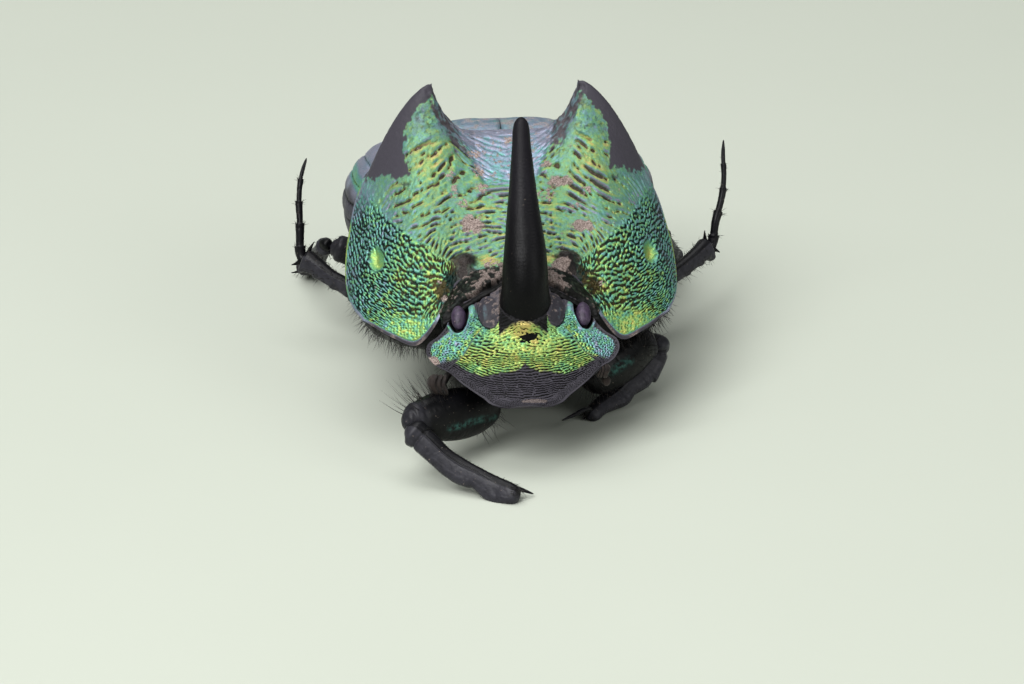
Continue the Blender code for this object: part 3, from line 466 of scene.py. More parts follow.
class Skin:
    """Collects closed bodies made of grids of points, and turns them into one object."""

    def __init__(self):
        self.points, self.quads, self.corners, self.fields = [], [], [], []
        self.count = 0
        self.body_start = 0

    def grid(self, points, wrap=False, tile=(0.0, 0.0, 1.0, 1.0), **fields):
        """Adds a grid of points. The tile is its place on the flat map: left, bottom, right, top."""
        rows, columns = points.shape[:2]
        index = self.count + np.arange(rows * columns).reshape(rows, columns)
        self.points.append(points.reshape(-1, 3))
        self.fields.append((self.count, {name: np.broadcast_to(value, (rows, columns)).ravel()
                                         for name, value in fields.items()}))
        self.count += rows * columns
        around = np.concatenate([index, index[:, :1]], axis=1) if wrap else index
        quads = np.stack([around[:-1, :-1], around[:-1, 1:], around[1:, 1:], around[1:, :-1]], axis=-1)
        left, low, right, high = tile
        u = np.linspace(left, right, around.shape[1])[None, :].repeat(rows, 0)
        v = np.linspace(low, high, rows)[:, None].repeat(around.shape[1], 1)
        flat = np.stack([u, v], axis=-1)
        corners = np.stack([flat[:-1, :-1], flat[:-1, 1:], flat[1:, 1:], flat[1:, :-1]], axis=-2)
        self.quads.append(quads.reshape(-1, 4))
        self.corners.append(corners.reshape(-1, 4, 2))
        return index

    def turn_last(self):
        """Turns round the faces of the last grid."""
        self.quads[-1] = self.quads[-1][:, ::-1]
        self.corners[-1] = self.corners[-1][:, ::-1]

    def add(self, faces):
        """Adds faces of four points, or of three with the last one given twice, at one place of the map."""
        faces = np.asarray(faces, int).reshape(-1, 4)
        self.quads.append(faces)
        self.corners.append(np.full((len(faces), 4, 2), 0.02))

    def fan(self, loop, tip, start):
        """Closes a loop of points with a point at its middle. start says that it is a grid's first row."""
        self.points.append(np.asarray(tip, float).reshape(1, 3))
        after = np.roll(loop, -1)
        middle = np.full(len(loop), self.count)
        self.count += 1
        faces = (after, loop, middle, middle) if start else (loop, after, middle, middle)
        self.add(np.stack(faces, axis=1))

    def stitch(self, fine, coarse):
        """Joins two closed loops of unlike counts, which run the same way round, with a strip of faces."""
        n, m = len(fine), len(coarse)
        faces, last = [], 0
        for i in range(n):
            now = (i + 1) * m // n
            a, b = fine[i], fine[(i + 1) % n]
            faces.append((a, b, coarse[last % m], coarse[last % m]))
            while last < now:
                faces.append((b, coarse[(last + 1) % m], coarse[last % m], coarse[last % m]))
                last += 1
        self.add(faces)

    def close(self):
        """Ends a body and turns its faces outward."""
        points = np.concatenate(self.points)
        faces = np.concatenate(self.quads[self.body_start:])
        a, b, c, d = (points[faces[:, k]] for k in range(4))
        volume = np.einsum("ij,ij->", a, np.cross(b, c)) + np.einsum("ij,ij->", a, np.cross(c, d))
        if volume < 0:
            order = [0, 3, 2, 1]
            for k in range(self.body_start, len(self.quads)):
                self.quads[k] = self.quads[k][:, order]
                self.corners[k] = self.corners[k][:, order]
        self.body_start = len(self.quads)

    def ordered_faces(self):
        """All faces and their places on the map, each turned so that a point given twice comes last."""
        quads, corners = np.concatenate(self.quads), np.concatenate(self.corners)
        twice = quads == np.roll(quads, -1, axis=1)
        first = np.where(twice.any(axis=1), np.argmax(twice, axis=1) + 2, 0)
        order = (np.arange(4) + first[:, None]) % 4
        corners = np.take_along_axis(corners, order[..., None], axis=1)
        return np.take_along_axis(quads, order, axis=1), corners

    def build(self, name, material, slot, *nodes):
        """Makes the object in metres, which stands for the nodes."""
        points = (np.concatenate(self.points) - CENTRE) * MM
        points[:, 2] = np.maximum(points[:, 2], 0.0)
        quads, corners = self.ordered_faces()
        three = quads[:, 2] == quads[:, 3]
        sizes = np.where(three, 3, 4)
        starts = np.cumsum(sizes) - sizes
        keep = np.ones(quads.shape, bool)
        keep[three, 3] = False
        mesh = bpy.data.meshes.new(name)
        mesh.vertices.add(len(points))
        mesh.vertices.foreach_set("co", points.astype(np.float32).ravel())
        mesh.loops.add(int(sizes.sum()))
        mesh.loops.foreach_set("vertex_index", quads[keep].astype(np.int32))
        mesh.polygons.add(len(quads))
        mesh.polygons.foreach_set("loop_start", starts.astype(np.int32))
        mesh.update(calc_edges=True)
        mesh.shade_smooth()
        flat = mesh.uv_layers.new(name="OFBake")
        flat.uv.foreach_set("vector", corners[keep].astype(np.float32).ravel())
        for field in sorted({key for _, held in self.fields for key in held}):
            values = np.zeros(len(points), np.float32)
            for first, held in self.fields:
                if field in held:
                    values[first:first + len(held[field])] = held[field]
            mesh.attributes.new(field, "FLOAT", "POINT").data.foreach_set("value", values)
        mesh.materials.append(material)
        piece = bpy.data.objects.new(name, mesh)
        bpy.context.scene.collection.objects.link(piece)
        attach(piece, "root")
        if nodes:
            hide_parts(*nodes)


def border(index):
    """The loop of points round the edge of a grid."""
    return np.concatenate([index[0, :-1], index[:-1, -1], index[-1, :0:-1], index[:0:-1, 0]])


def add_shield(name, node, material, points, low, low_hue, **fields):
    """Makes one closed object of a detailed upper skin and a plain lower one, joined round their edges."""
    skin = Skin()
    upper = skin.grid(points, tile=UPPER_TILE, **fields)
    lower = skin.grid(low, tile=LOWER_TILE, relief=1.0, hue=low_hue, black=1.0, dust=0.0)
    skin.turn_last()
    skin.stitch(border(upper), border(lower))
    skin.close()
    skin.build(name, material, "green_cuticle", node)


def add_tube(skin, points, tile=(0.0, 0.0, 1.0, 1.0), **fields):
    """Adds a closed grid as a body with rounded ends."""
    index = skin.grid(points, wrap=True, tile=tile, **fields)
    skin.fan(index[0], points[0].mean(axis=0), True)
    skin.fan(index[-1], points[-1].mean(axis=0), False)
    skin.close()


def add_closed(name, nodes, material, slot, points, **fields):
    """Makes one object of a closed grid."""
    skin = Skin()
    add_tube(skin, points, **fields)
    skin.build(name, material, slot, *nodes)


class Coat:
    """Collects hairs, each a thin tube that tapers to a point, and joins them into one piece."""

    RINGS = (0.0, 0.25, 0.5, 0.75)

    def __init__(self, seed):
        self.draw = np.random.default_rng(seed)
        self.roots, self.ways, self.bends, self.sizes, self.maps = [], [], [], [], []

    def grow(self, grid, normals, count, rows, columns, length, lean=(0.0, 0.0, 0.0), along=0.0,
             spread=0.25, thick=0.009, bend=(0.0, 0.0, -0.25), tile=(0.0, 0.0, 1.0, 1.0)):
        """Adds hairs at random places of a grid, between shares of its rows and columns."""
        draw = self.draw
        last_row, last_column = grid.shape[0] - 1, grid.shape[1] - 1
        v, u = draw.uniform(*rows, count), draw.uniform(*columns, count)
        i, j = (np.clip(v, 0, 1) * last_row).astype(int), ((u % 1.0) * last_column).astype(int)
        ahead = unit(np.gradient(grid, axis=0))[i, j]
        way = normals[i, j] + ahead * along + np.array(lean) + spread * draw.normal(size=(count, 3))
        size = draw.uniform(*length, count)
        self.roots.append(grid[i, j] - 0.02 * normals[i, j])
        self.ways.append(unit(way))
        self.bends.append((np.array(bend) + 0.12 * draw.normal(size=(count, 3))) * size[:, None])
        self.sizes.append(np.stack([size, thick * draw.uniform(0.7, 1.2, count)], axis=1))
        left, low, right, high = tile
        flat = left + (right - left) * (u % 1.0), low + (high - low) * np.clip(v, 0, 1)
        self.maps.append(np.stack(flat, axis=1))

    def build(self, name, material, slot):
        """Makes one piece of all hairs, each on its own small patch of the flat map."""
        held = self.roots, self.ways, self.bends, self.sizes, self.maps
        roots, ways, bends, sizes, maps = (np.concatenate(part) for part in held)
        count, levels = len(roots), len(self.RINGS)
        side = unit(np.cross(ways, (0.31, 0.57, 0.76)))
        other = np.cross(ways, side)
        length, thick = sizes[:, :1], sizes[:, 1:]
        points = np.zeros((count, levels * 3 + 1, 3))
        for k, share in enumerate(self.RINGS):
            middle = roots + ways * length * share + bends * share**2
            reach = thick * (1 - 0.75 * share)
            for corner in range(3):
                turn = 2 * math.pi * corner / 3
                points[:, 3 * k + corner] = middle + reach * (side * math.cos(turn) + other * math.sin(turn))
        points[:, -1] = roots + ways * length + bends
        quads, tip = [], levels * 3
        for first in range(0, tip - 3, 3):
            for corner in range(3):
                after = (corner + 1) % 3
                quads.append((first + corner, first + after, first + 3 + after, first + 3 + corner))
        for corner in range(3):
            quads.append((tip - 3 + corner, tip - 3 + (corner + 1) % 3, tip, tip))
        quads.append((0, 2, 1, 1))
        skin = Skin()
        skin.points.append(points.reshape(-1, 3))
        faces = np.array(quads)[None] + (np.arange(count) * (tip + 1))[:, None, None]
        skin.quads.append(faces.reshape(-1, 4))
        patch = np.array([(0, 0), (1, 0), (1, 1), (0, 1)]) * 0.003
        flat = (maps[:, None, None] + patch[None, None]).repeat(len(quads), 1)
        skin.corners.append(flat.reshape(-1, 4, 2))
        skin.close()
        skin.build(name, material, slot)


# Materials.

class Paint:
    """Builds the nodes of one material."""

    def __init__(self, name, **shader):
        self.material = bpy.data.materials.new(name)
        self.material.use_nodes = True
        self.tree = self.material.node_tree
        self.shader = self.tree.nodes["Principled BSDF"]
        self.finish(**shader)

    def set(self, node, socket, value):
        """Links an input to a socket, or gives it a colour or a number."""
        if isinstance(value, bpy.types.NodeSocket):
            self.tree.links.new(value, node.inputs[socket])
        elif isinstance(value, tuple):
            node.inputs[socket].default_value = (*value, 1.0)
        else:
            node.inputs[socket].default_value = value

    def node(self, kind, inputs=(), **settings):
        """Makes a node with its inputs and settings."""
        made = self.tree.nodes.new(kind)
        for key, value in settings.items():
            setattr(made, key, value)
        for socket, value in dict(inputs).items():
            self.set(made, socket, value)
        return made

    def field(self, name):
        """Values of a field stored on the mesh."""
        return self.node("ShaderNodeAttribute", attribute_name=name).outputs["Fac"]

    def math(self, operation, a, b):
        return self.node("ShaderNodeMath", {0: a, 1: b}, operation=operation).outputs[0]

    def times(self, a, b):
        return self.math("MULTIPLY", a, b)

    def plus(self, a, b):
        return self.math("ADD", a, b)

    def mix(self, share, a, b):
        """Colour a where share is 0, and b where it is 1."""
        made = self.node("ShaderNodeMix", data_type="RGBA")
        for socket, value in ((0, share), (6, a), (7, b)):
            self.set(made, socket, value)
        return made.outputs[2]

    def spread(self, value, low, high, to_low=0.0, to_high=1.0):
        """Spreads the values from low to high over those from to_low to to_high."""
        inputs = {0: value, 1: low, 2: high, 3: to_low, 4: to_high}
        return self.node("ShaderNodeMapRange", inputs).outputs[0]

    def ramp(self, value, stops):
        """Colours between stops (place, colour)."""
        made = self.node("ShaderNodeValToRGB", {0: value})
        while len(made.color_ramp.elements) < len(stops):
            made.color_ramp.elements.new(0.5)
        for element, (place, colour) in zip(made.color_ramp.elements, stops):
            element.position = place
            element.color = (*colour, 1.0)
        return made.outputs[0]

    def place(self):
        """Place in the object's own frame, in metres."""
        return self.node("ShaderNodeTexCoord").outputs["Object"]

    def noise(self, per_mm, detail=3.0, rough=0.5):
        """Cloudy noise with so many lumps to the millimetre."""
        inputs = {"Vector": self.place(), "Scale": per_mm / MM, "Detail": detail, "Roughness": rough}
        return self.node("ShaderNodeTexNoise", inputs).outputs["Fac"]

    def cells(self, per_mm):
        """Distance from scattered centres, so many to the millimetre."""
        inputs = {"Vector": self.place(), "Scale": per_mm / MM}
        return self.node("ShaderNodeTexVoronoi", inputs).outputs["Distance"]

    def bumped(self, *layers):
        """Bump from (height, depth in millimetres) pairs."""
        normal = None
        for height, depth in layers:
            made = self.node("ShaderNodeBump", {"Height": height, "Strength": 1.0, "Distance": depth * MM})
            if normal:
                self.set(made, "Normal", normal)
            normal = made.outputs[0]
        self.set(self.shader, "Normal", normal)

    def finish(self, **shader):
        """Sets the shader's inputs and gives the material."""
        for socket, value in shader.items():
            self.set(self.shader, socket.replace("_", " "), value)
        return self.material


def black_paint():
    """Black cuticle with fine pits and grains of dust, lighter where a field paints a sheen on it, and here
    and there a green tint laid as a painted sheen streak.
    """
    paint = Paint("black_cuticle_skin", Specular_IOR_Level=0.16)
    cloudy = paint.noise(1.6, 4.0)
    grain = paint.noise(22.0, 3.0)
    colour = paint.mix(paint.spread(cloudy, 0.35, 0.75), (0.0008, 0.0008, 0.0011), (0.0030, 0.0030, 0.0040))
    # Painted highlight: a lighter grey wherever the field says, with random strength.
    satin = paint.times(paint.field("satin"), paint.spread(paint.noise(5.0, 4.0), 0.3, 0.7, 0.55, 1.0))
    colour = paint.mix(satin, colour, (0.036, 0.035, 0.043))
    # Green tint of the femora, laid as a painted sheen streak with a metallic shine.
    green = paint.times(paint.field("green"), paint.spread(paint.noise(7.0, 4.0), 0.40, 0.66, 0.0, 0.5))
    colour = paint.mix(green, colour, (0.07, 0.22, 0.19))
    speck = paint.spread(paint.noise(17.0, 2.0), 0.715, 0.765)
    colour = paint.mix(paint.times(speck, 0.7), colour, (0.30, 0.24, 0.20))
    roughness = paint.plus(paint.spread(grain, 0.3, 0.7, 0.30, 0.42), paint.times(speck, 0.4))
    paint.bumped((paint.noise(9.0, 4.0), 0.003), (grain, 0.003))
    return paint.finish(Base_Color=colour, Roughness=roughness, Metallic=paint.times(green, 0.7))


def horn_paint():
    """Satin black with fine cross wrinkles, and a painted grey sheen that grows towards the tip."""
    paint = Paint("horn_satin", Specular_IOR_Level=0.13)
    grain = paint.noise(16.0, 3.0)
    # Painted highlight: a grey sheen that grows towards the tip.
    grey = paint.times(paint.field("tip"), paint.spread(paint.noise(0.8, 3.0), 0.3, 0.7, 0.6, 1.0))
    colour = paint.mix(grey, (0.0012, 0.0012, 0.0015), (0.010, 0.009, 0.012))
    speck = paint.spread(paint.noise(9.0, 2.0), 0.72, 0.78)
    colour = paint.mix(paint.times(speck, 0.5), colour, (0.16, 0.13, 0.10))
    paint.bumped((grain, 0.008), (paint.noise(40.0, 2.0), 0.003))
    return paint.finish(Base_Color=colour, Roughness=paint.spread(grain, 0.3, 0.7, 0.36, 0.50))


def hair_paint():
    """Black hairs, here and there a little browner."""
    paint = Paint("hair_black", Specular_IOR_Level=0.4)
    colour = paint.mix(paint.noise(1.2, 2.0), (0.006, 0.005, 0.005), (0.020, 0.015, 0.012))
    roughness = paint.spread(paint.noise(6.0, 2.0), 0.3, 0.7, 0.38, 0.55)
    return paint.finish(Base_Color=colour, Roughness=roughness)


def feeler_paint():
    """Dull brown-grey plates of the antennae, covered with very short down."""
    paint = Paint("feeler_down", Specular_IOR_Level=0.2, Sheen_Weight=0.08, Sheen_Roughness=0.5)
    down = paint.noise(38.0, 3.0)
    cloudy = paint.spread(paint.noise(4.0, 3.0), 0.3, 0.7)
    colour = paint.mix(cloudy, (0.006, 0.004, 0.004), (0.026, 0.018, 0.015))
    paint.bumped((down, 0.006))
    return paint.finish(Base_Color=colour, Roughness=paint.spread(down, 0.3, 0.7, 0.6, 0.8))


def metal_paint(name, hollow=(0.008, 0.008, 0.004)):
    """Metallic cuticle whose colour runs with its fields from lavender over teal and green to gold, and
    falls to a dark colour where a field paints shade into pits, valleys, grooves and hollows.
    """
    paint = Paint(name, Specular_IOR_Level=0.16)
    hue, relief = paint.field("hue"), paint.field("relief")
    patch = paint.noise(2.2, 4.0)
    fine = paint.noise(14.0, 2.0)
    mottle = paint.plus(paint.spread(patch, 0.2, 0.8, -0.10, 0.10),
                        paint.spread(fine, 0.2, 0.8, -0.12, 0.12))
    shade = paint.plus(hue, mottle)
    metal = paint.ramp(shade, (
        (0.00, (0.28, 0.29, 0.38)), (0.16, (0.20, 0.28, 0.36)), (0.34, (0.13, 0.34, 0.31)),
        (0.52, (0.15, 0.39, 0.20)), (0.70, (0.27, 0.45, 0.13)), (0.86, (0.46, 0.50, 0.14)),
        (1.00, (0.56, 0.45, 0.15)),
    ))
    # Painted shade: low values of this field darken pits, valleys and hollows towards the hollow colour.
    deep = paint.spread(relief, 0.10, 0.55)
    shaded_pit_colour = paint.mix(paint.spread(hue, 0.45, 0.70), (0.006, 0.018, 0.015), hollow)
    pores = paint.spread(paint.noise(26.0, 2.0), 0.52, 0.70, 0.0, 0.40)
    metal = paint.mix(pores, metal, (0.03, 0.05, 0.05))
    colour = paint.mix(deep, shaded_pit_colour, metal)
    black, dust = paint.field("black"), paint.field("dust")
    # Black parts: painted highlight on the crests, painted shade in the valleys.
    satin = paint.mix(deep, (0.001, 0.001, 0.001), (0.050, 0.046, 0.058))
    colour = paint.mix(black, colour, satin)
    crumb = paint.noise(24.0, 3.0, 0.6)
    soil = paint.mix(paint.spread(crumb, 0.35, 0.65), (0.11, 0.078, 0.068), (0.42, 0.34, 0.31))
    colour = paint.mix(dust, colour, soil)
    bare = paint.times(paint.math("SUBTRACT", 1.0, black), paint.math("SUBTRACT", 1.0, dust))
    metallic = paint.times(bare, 0.62)
    roughness = paint.plus(paint.spread(fine, 0.25, 0.75, 0.40, 0.56), paint.times(dust, 0.5))
    roughness = paint.plus(roughness, paint.times(black, 0.04))
    paint.bumped((paint.noise(16.0, 3.0), 0.006), (paint.noise(45.0, 2.0), 0.002))
    return paint.finish(Base_Color=colour, Metallic=metallic, Roughness=roughness)


def eye_paint():
    """Dull violet compound eyes with fine facets."""
    paint = Paint("eye_lens", Specular_IOR_Level=0.4)
    facets = paint.cells(34.0)
    cloudy = paint.spread(paint.noise(7.0, 3.0), 0.3, 0.7)
    colour = paint.mix(cloudy, (0.014, 0.008, 0.020), (0.050, 0.030, 0.064))
    speck = paint.spread(paint.noise(14.0, 2.0), 0.68, 0.76)
    colour = paint.mix(paint.times(speck, 0.6), colour, (0.24, 0.18, 0.17))
    paint.bumped((facets, 0.004))
    return paint.finish(Base_Color=colour, Roughness=paint.spread(facets, 0.0, 0.6, 0.36, 0.50))


# Head.

def head_place(s, t, n):
    """Point at s along the head from its front edge, t to the side and n above the head plane."""
    s, t, n = np.broadcast_arrays(np.asarray(s, float), t, n)
    y = s * math.cos(HEAD_PITCH) - n * math.sin(HEAD_PITCH)
    z = CLYPEUS_HEIGHT + s * math.sin(HEAD_PITCH) + n * math.cos(HEAD_PITCH)
    return np.stack([t, y, z], axis=-1)


def head_roof(s, t, half):
    """Height of the head's upper side over the head plane."""
    middle = spline(HEAD_PROFILE, s.ravel())[:, 0].reshape(s.shape)
    return middle - (middle + 0.12) * np.abs(t / half) ** 2.5


# Where features of the head show on the picture's left half.
HEAD_RUN = (
    (455, 362, 24, 10), (470, 372, 22, 10), (500, 385, 10, 12), (526, 372, 0, 20), (465, 345, 14, 10),
    (490, 350, 8, 12), (526, 350, 0, 12), (478, 334, 30, 6), (500, 336, -38, 7), (512, 328, -24, 7),
    (526, 326, 0, 9), (440, 350, -12, 9), (432, 352, -30, 7), (450, 336, 60, 6),
)
SUTURE = ((328, 482.5), (333, 478), (340, 472.5), (348, 468), (355, 463.5), (362, 456), (369, 447.5))
# Patches of soil on the head, on the whole picture: oval, lean, strength, fraying and seed.
HEAD_SOIL = (((433, 361, 6, 5), 30, 1.0, 0.3, 95), ((536, 401, 12, 2), 0, 0.4, 0.5, 97))
GREEN_END = ((449, 361), (458, 365), (470, 371), (485, 376), (500, 373), (515, 371), (521, 368), (526, 361))
# Ovals there: across, down, half width, half height.
FRONS_PLATE = (489.0, 312.0, 10.5, 15.0)
PLATE_STREAK = (485.5, 314, 2.6, 10.0)
EYE_STRIPE = (471.0, 317.0, 5.0, 13.0)
EYE_SOCKET = (459.0, 317.0, 9.2, 13.6)
# The black arch over the horn's foot: across, down, half width and rise; and the plates' inner edge.
ARCH_X, ARCH_Y, ARCH_WIDE, ARCH_RISE, PLATE_END = 527, 320.5, 24, 11, 499
# The horn's foot on the head: along, across, half length, half width.
FOOT_S, FOOT_T, FOOT_LONG, FOOT_WIDE = 3.45, 0.12, 1.07, 0.93
HEAD_ROWS, HEAD_COLUMNS = 330, 331


def oval(place, centre, lean=0.0):
    """Distance from the middle of an oval (across, down, half width, half height), 1 on its edge."""
    x, y, wide, tall = centre
    c, s = math.cos(math.radians(lean)), math.sin(math.radians(lean))
    dx, dy = place[..., 0] - x, place[..., 1] - y
    return np.hypot((dx * c + dy * s) / wide, (dy * c - dx * s) / tall)


def from_line(place, line):
    """Distance in pixels from a line of points of the picture."""
    best = np.full(place.shape[:-1], 1e9)
    for start, end in zip(line[:-1], line[1:]):
        start, way = np.array(start, float), np.array(end, float) - np.array(start, float)
        share = np.clip((place - start) @ way / (way @ way), 0, 1)
        best = np.minimum(best, np.linalg.norm(place - start - share[..., None] * way, axis=-1))
    return best


def upward(normals):
    """Turns a grid's normals round if they point into the body."""
    middle = normals[normals.shape[0] // 2, normals.shape[1] // 2]
    return normals if middle @ FRONT > 0 else -normals


def head_grid(rows, columns):
    """Points of the head's upper side, with their places along and across it and its half width."""
    s = np.linspace(0.02, HEAD_LENGTH, 800)
    outline = spline(HEAD_OUTLINE, s)[:, 0]
    s = resample(np.stack([s, outline, outline * 0], axis=1), rows)[:, 0]
    half = spline(HEAD_OUTLINE, s)[:, :1]
    share = np.sin(np.linspace(-1.0, 1.0, columns) * 1.2) / math.sin(1.2)
    t = share[None, :] * half
    s = np.repeat(s[:, None], columns, 1)
    return s, t, half, head_place(s, t, head_roof(s, t, half))


def head_underside(rows=40, columns=31):
    """Points of the head's plain lower side."""
    s = np.linspace(0.10, HEAD_LENGTH - 0.05, rows)
    share = np.linspace(-1.0, 1.0, columns)[None, :]
    depth = spline(HEAD_PROFILE, s)[:, 1:2]
    n = -0.22 - (depth - 0.2) * np.clip(1 - (share / 0.72) ** 2, 0, 1)
    return head_place(np.repeat(s[:, None], columns, 1), share * (spline(HEAD_OUTLINE, s)[:, :1] - 0.07), n)


def add_head():
    """The head's shield with its large forms, then its wrinkles, then the fields of its colours."""
    s, t, half, top = head_grid(HEAD_ROWS, HEAD_COLUMNS)
    normals = upward(grid_normals(top))
    place, whole = seen(top), seen(top, False)
    px, py = place[..., 0], place[..., 1]
    from_edge = np.minimum((half - np.abs(t)) * np.minimum(1, 0.45 + s / 3), s)
    keep = smooth(0.0, 0.07, from_edge)
    suture_x = along_edge(SUTURE, py)
    beside = (px - suture_x) * 0.8
    gena = smooth(0.5, -0.5, beside) * smooth(326, 331, py)
    plate, stripe = oval(place, FRONS_PLATE, -8), oval(place, EYE_STRIPE, 4)
    socket = oval(place, EYE_SOCKET, 16)
    on_plate = smooth(1.12, 0.92, plate)
    foot = np.hypot((s - FOOT_S) / FOOT_LONG, (t - FOOT_T) / FOOT_WIDE) - 1
    fillet = 0.20 * np.clip(1 - foot / 0.36, 0, 1) ** 2.0 + 1.2 * np.clip(-foot, 0, 0.12)
    fillet = fillet * (0.35 + 0.65 * smooth(3.4, 2.7, s))
    large = (0.09 * smooth(1.2, 0.35, plate) - 0.05 * bump(plate - 1.18, 0.16) * (px < 490)
             + 0.06 * smooth(1.1, 0.5, stripe) - 0.07 * gena
             - 0.16 * smooth(1.12, 0.85, socket) + 0.055 * bump(socket - 1.22, 0.16) * smooth(316, 322, py)
             - 0.05 * smooth(0.7, 0.2, np.abs(s - 0.55)) + fillet)
    ridge = bump(beside, 1.5) * smooth(326, 329, py) * smooth(371, 367, py)
    large = large + 0.04 * ridge
    points = lifted(top, normals, large * keep)
    shown = seen(points)

    # Wrinkles and other small forms.
    angle = blended_angle(place, HEAD_RUN)
    steps = flow_steps(points, angle)
    broad = drag(waves(points, 0.096, 71), steps, 0.10)
    broad = ridged(broad / broad.std() + 0.75 * noise(top, 0.13, 73, 2) - 0.16, 1.8)
    fine = waves(points, 0.072, 75)
    fine = ridged(fine / fine.std() + 0.5 * noise(top, 0.09, 76), 1.6)
    clypeus = (1 - gena) * (1 - on_plate)
    band = smooth(0.30, 0.16, from_edge + 0.08 * noise(top, 0.3, 77, 2)) * (1 - gena)
    near_horn = smooth(0.30, 0.10, foot) * clypeus
    rough = broad * (1 - band) * (1 - gena) + fine * np.maximum(band, gena)
    rough = rough * (1 - near_horn) + near_horn * np.maximum(broad, 0.8 * fine) * 0.85
    rough = np.maximum(rough, 0.85 * fine * smooth(0.85, 0.55, foot) * clypeus)
    pebbles = smooth(1.15, 0.95, stripe)
    rough = rough * (1 - pebbles) + fine * pebbles
    rough = np.clip(rough, 0, 1)
    calm = np.maximum(on_plate, np.maximum(smooth(1.35, 1.2, socket), ridge))
    calm = np.maximum(calm, smooth(0.055, 0.035, from_edge))
    back = smooth(3.0, 3.4, s)
    calm = np.maximum(calm, back)
    depth = 0.042 - 0.022 * band - 0.010 * gena - 0.018 * near_horn
    small = depth * (rough - 0.5) * (1 - calm) + 0.012 * bump(from_edge - 0.045, 0.06)
    lumps = 0.012 * noise(top, 0.09, 79, 2) + 0.01 * noise(top, 0.3, 81)
    small = small + lumps * np.maximum(on_plate, back)
    points = lifted(points, normals, small * keep)
    turned = upward(grid_normals(points))

    # Fields of the colours.
    end = along_edge(GREEN_END, px)
    black = smooth(-1.2, 1.2, py - end + 1.6 * noise(top, 0.15, 83, 2)) * (1 - gena)
    margin = smooth(0.16, 0.10, from_edge + 0.04 * noise(top, 0.2, 85))
    low_gena = gena * smooth(-2.5, 2.5, (py - 362) + 0.25 * (px - 440) + 2 * noise(top, 0.2, 87, 2))
    canthus = bump(socket - 1.24, 0.16) * smooth(317, 322, py) * smooth(-0.5, 0.1, noise(top, 0.12, 86))
    black = np.maximum.reduce([black, margin * (1 - canthus), low_gena, smooth(1.20, 1.08, plate), ridge,
                               back * (plate > 1.1), smooth(1.12, 1.04, socket)])
    arch = ARCH_Y + ARCH_RISE * ((shown[..., 0] - ARCH_X) / ARCH_WIDE) ** 2
    horn_foot = smooth(3.6, -2.4, shown[..., 1] - arch + 1.6 * noise(top, 0.08, 84, 2)) * (px > PLATE_END)
    black = np.maximum(black, horn_foot)
    streak = smooth(1.0, 0.5, oval(place, PLATE_STREAK, -4)) * on_plate
    black = np.minimum(black, 1 - 0.30 * streak * smooth(-0.6, 0.3, noise(top, 0.10, 88)))
    black = np.minimum(black, 1 - 0.9 * smooth(1.05, 0.85, stripe) * smooth(1.06, 1.14, plate))
    hue = 0.74 + 0.16 * noise(top, 0.35, 89, 2) + 0.07 * np.clip(1 - np.abs(px - 526) / 40, 0, 1)
    hue = hue + 0.16 * near_horn * smooth(20, 8, np.abs(px - 528)) + 0.10 * noise(top, 0.07, 90)
    hue = hue - 0.30 * smooth(13, 3, beside) * (1 - gena) * smooth(352, 338, py)
    hue = hue + gena * (0.36 + 0.26 * smooth(-14, -3, beside) - hue + 0.44 * noise(top, 0.10, 91, 2))
    hue = np.where(stripe < 1.2, 0.40 + 0.3 * noise(top, 0.12, 96, 2), hue)
    hue = np.where(streak > 0.1, 0.20, hue)
    hue = np.where((socket > 1.1) & (socket < 1.4) & (py > 318), 0.34 + 0.25 * noise(top, 0.12, 92), hue)
    # Iridescent shift painted for the camera's direction: small forms that turn towards it go yellower.
    hue = hue + 0.25 * (turned - normals) @ FRONT
    # Painted shade: this field is lowest in the valleys of the wrinkles, in the groove round the frons plate
    # and in the eye socket; it is also lowered on the plate, over the horn's foot and along the margin.
    relief = 1 - (1 - rough ** (0.9 - 0.2 * gena)) * (1 - calm)
    relief = np.minimum(relief, 1 - 0.9 * bump(plate - 1.12, 0.12) * (py < 330) * (px < 490))
    relief = np.minimum(relief, 1 - 0.95 * smooth(1.14, 1.04, socket))
    relief = relief * (1 - 0.8 * horn_foot) * (1 - 0.62 * on_plate)
    relief = relief * (1 - 0.55 * smooth(0.09, 0.05, from_edge))
    specks = noise(top, 0.09, 93, 3) + 0.34 * smooth(12, 2, np.abs(px - 500)) + 0.2 * smooth(304, 298, py)
    dust = 0.45 * smooth(0.32, 0.50, specks) * np.maximum(on_plate, 0.5 * back) * (1 - streak)
    beside_eye = smooth(0.42, 0.5, noise(top, 0.07, 94, 2)) * smooth(1.8, 1.0, socket) * (socket > 1.1)
    dust = np.maximum(dust, 0.8 * beside_eye)
    for centre, lean, strength, fraying, seed in HEAD_SOIL:
        edge = oval(whole, centre, lean) + fraying * noise(top, 0.1, seed, 2)
        dust = np.maximum(dust, strength * smooth(1.1, 0.8, edge))
    add_shield("head_shield", "head", metal_paint("head_metal"), points, head_underside(), 0.3,
               relief=relief, hue=hue, black=black, dust=np.clip(dust, 0, 1))


def polar_grid(rows, columns):
    """Angles from pole to pole without the poles, and round the axis."""
    polar = np.linspace(0.0, math.pi, rows)[1:-1]
    return np.meshgrid(polar, np.linspace(0.0, 2 * math.pi, columns, endpoint=False), indexing="ij")


# Place and half length of an eye along the head, its place to the side, and the width of a facet.
EYE_ALONG, EYE_REACH, EYE_SIDE, FACET = 3.21, 0.42, 1.95, 0.034


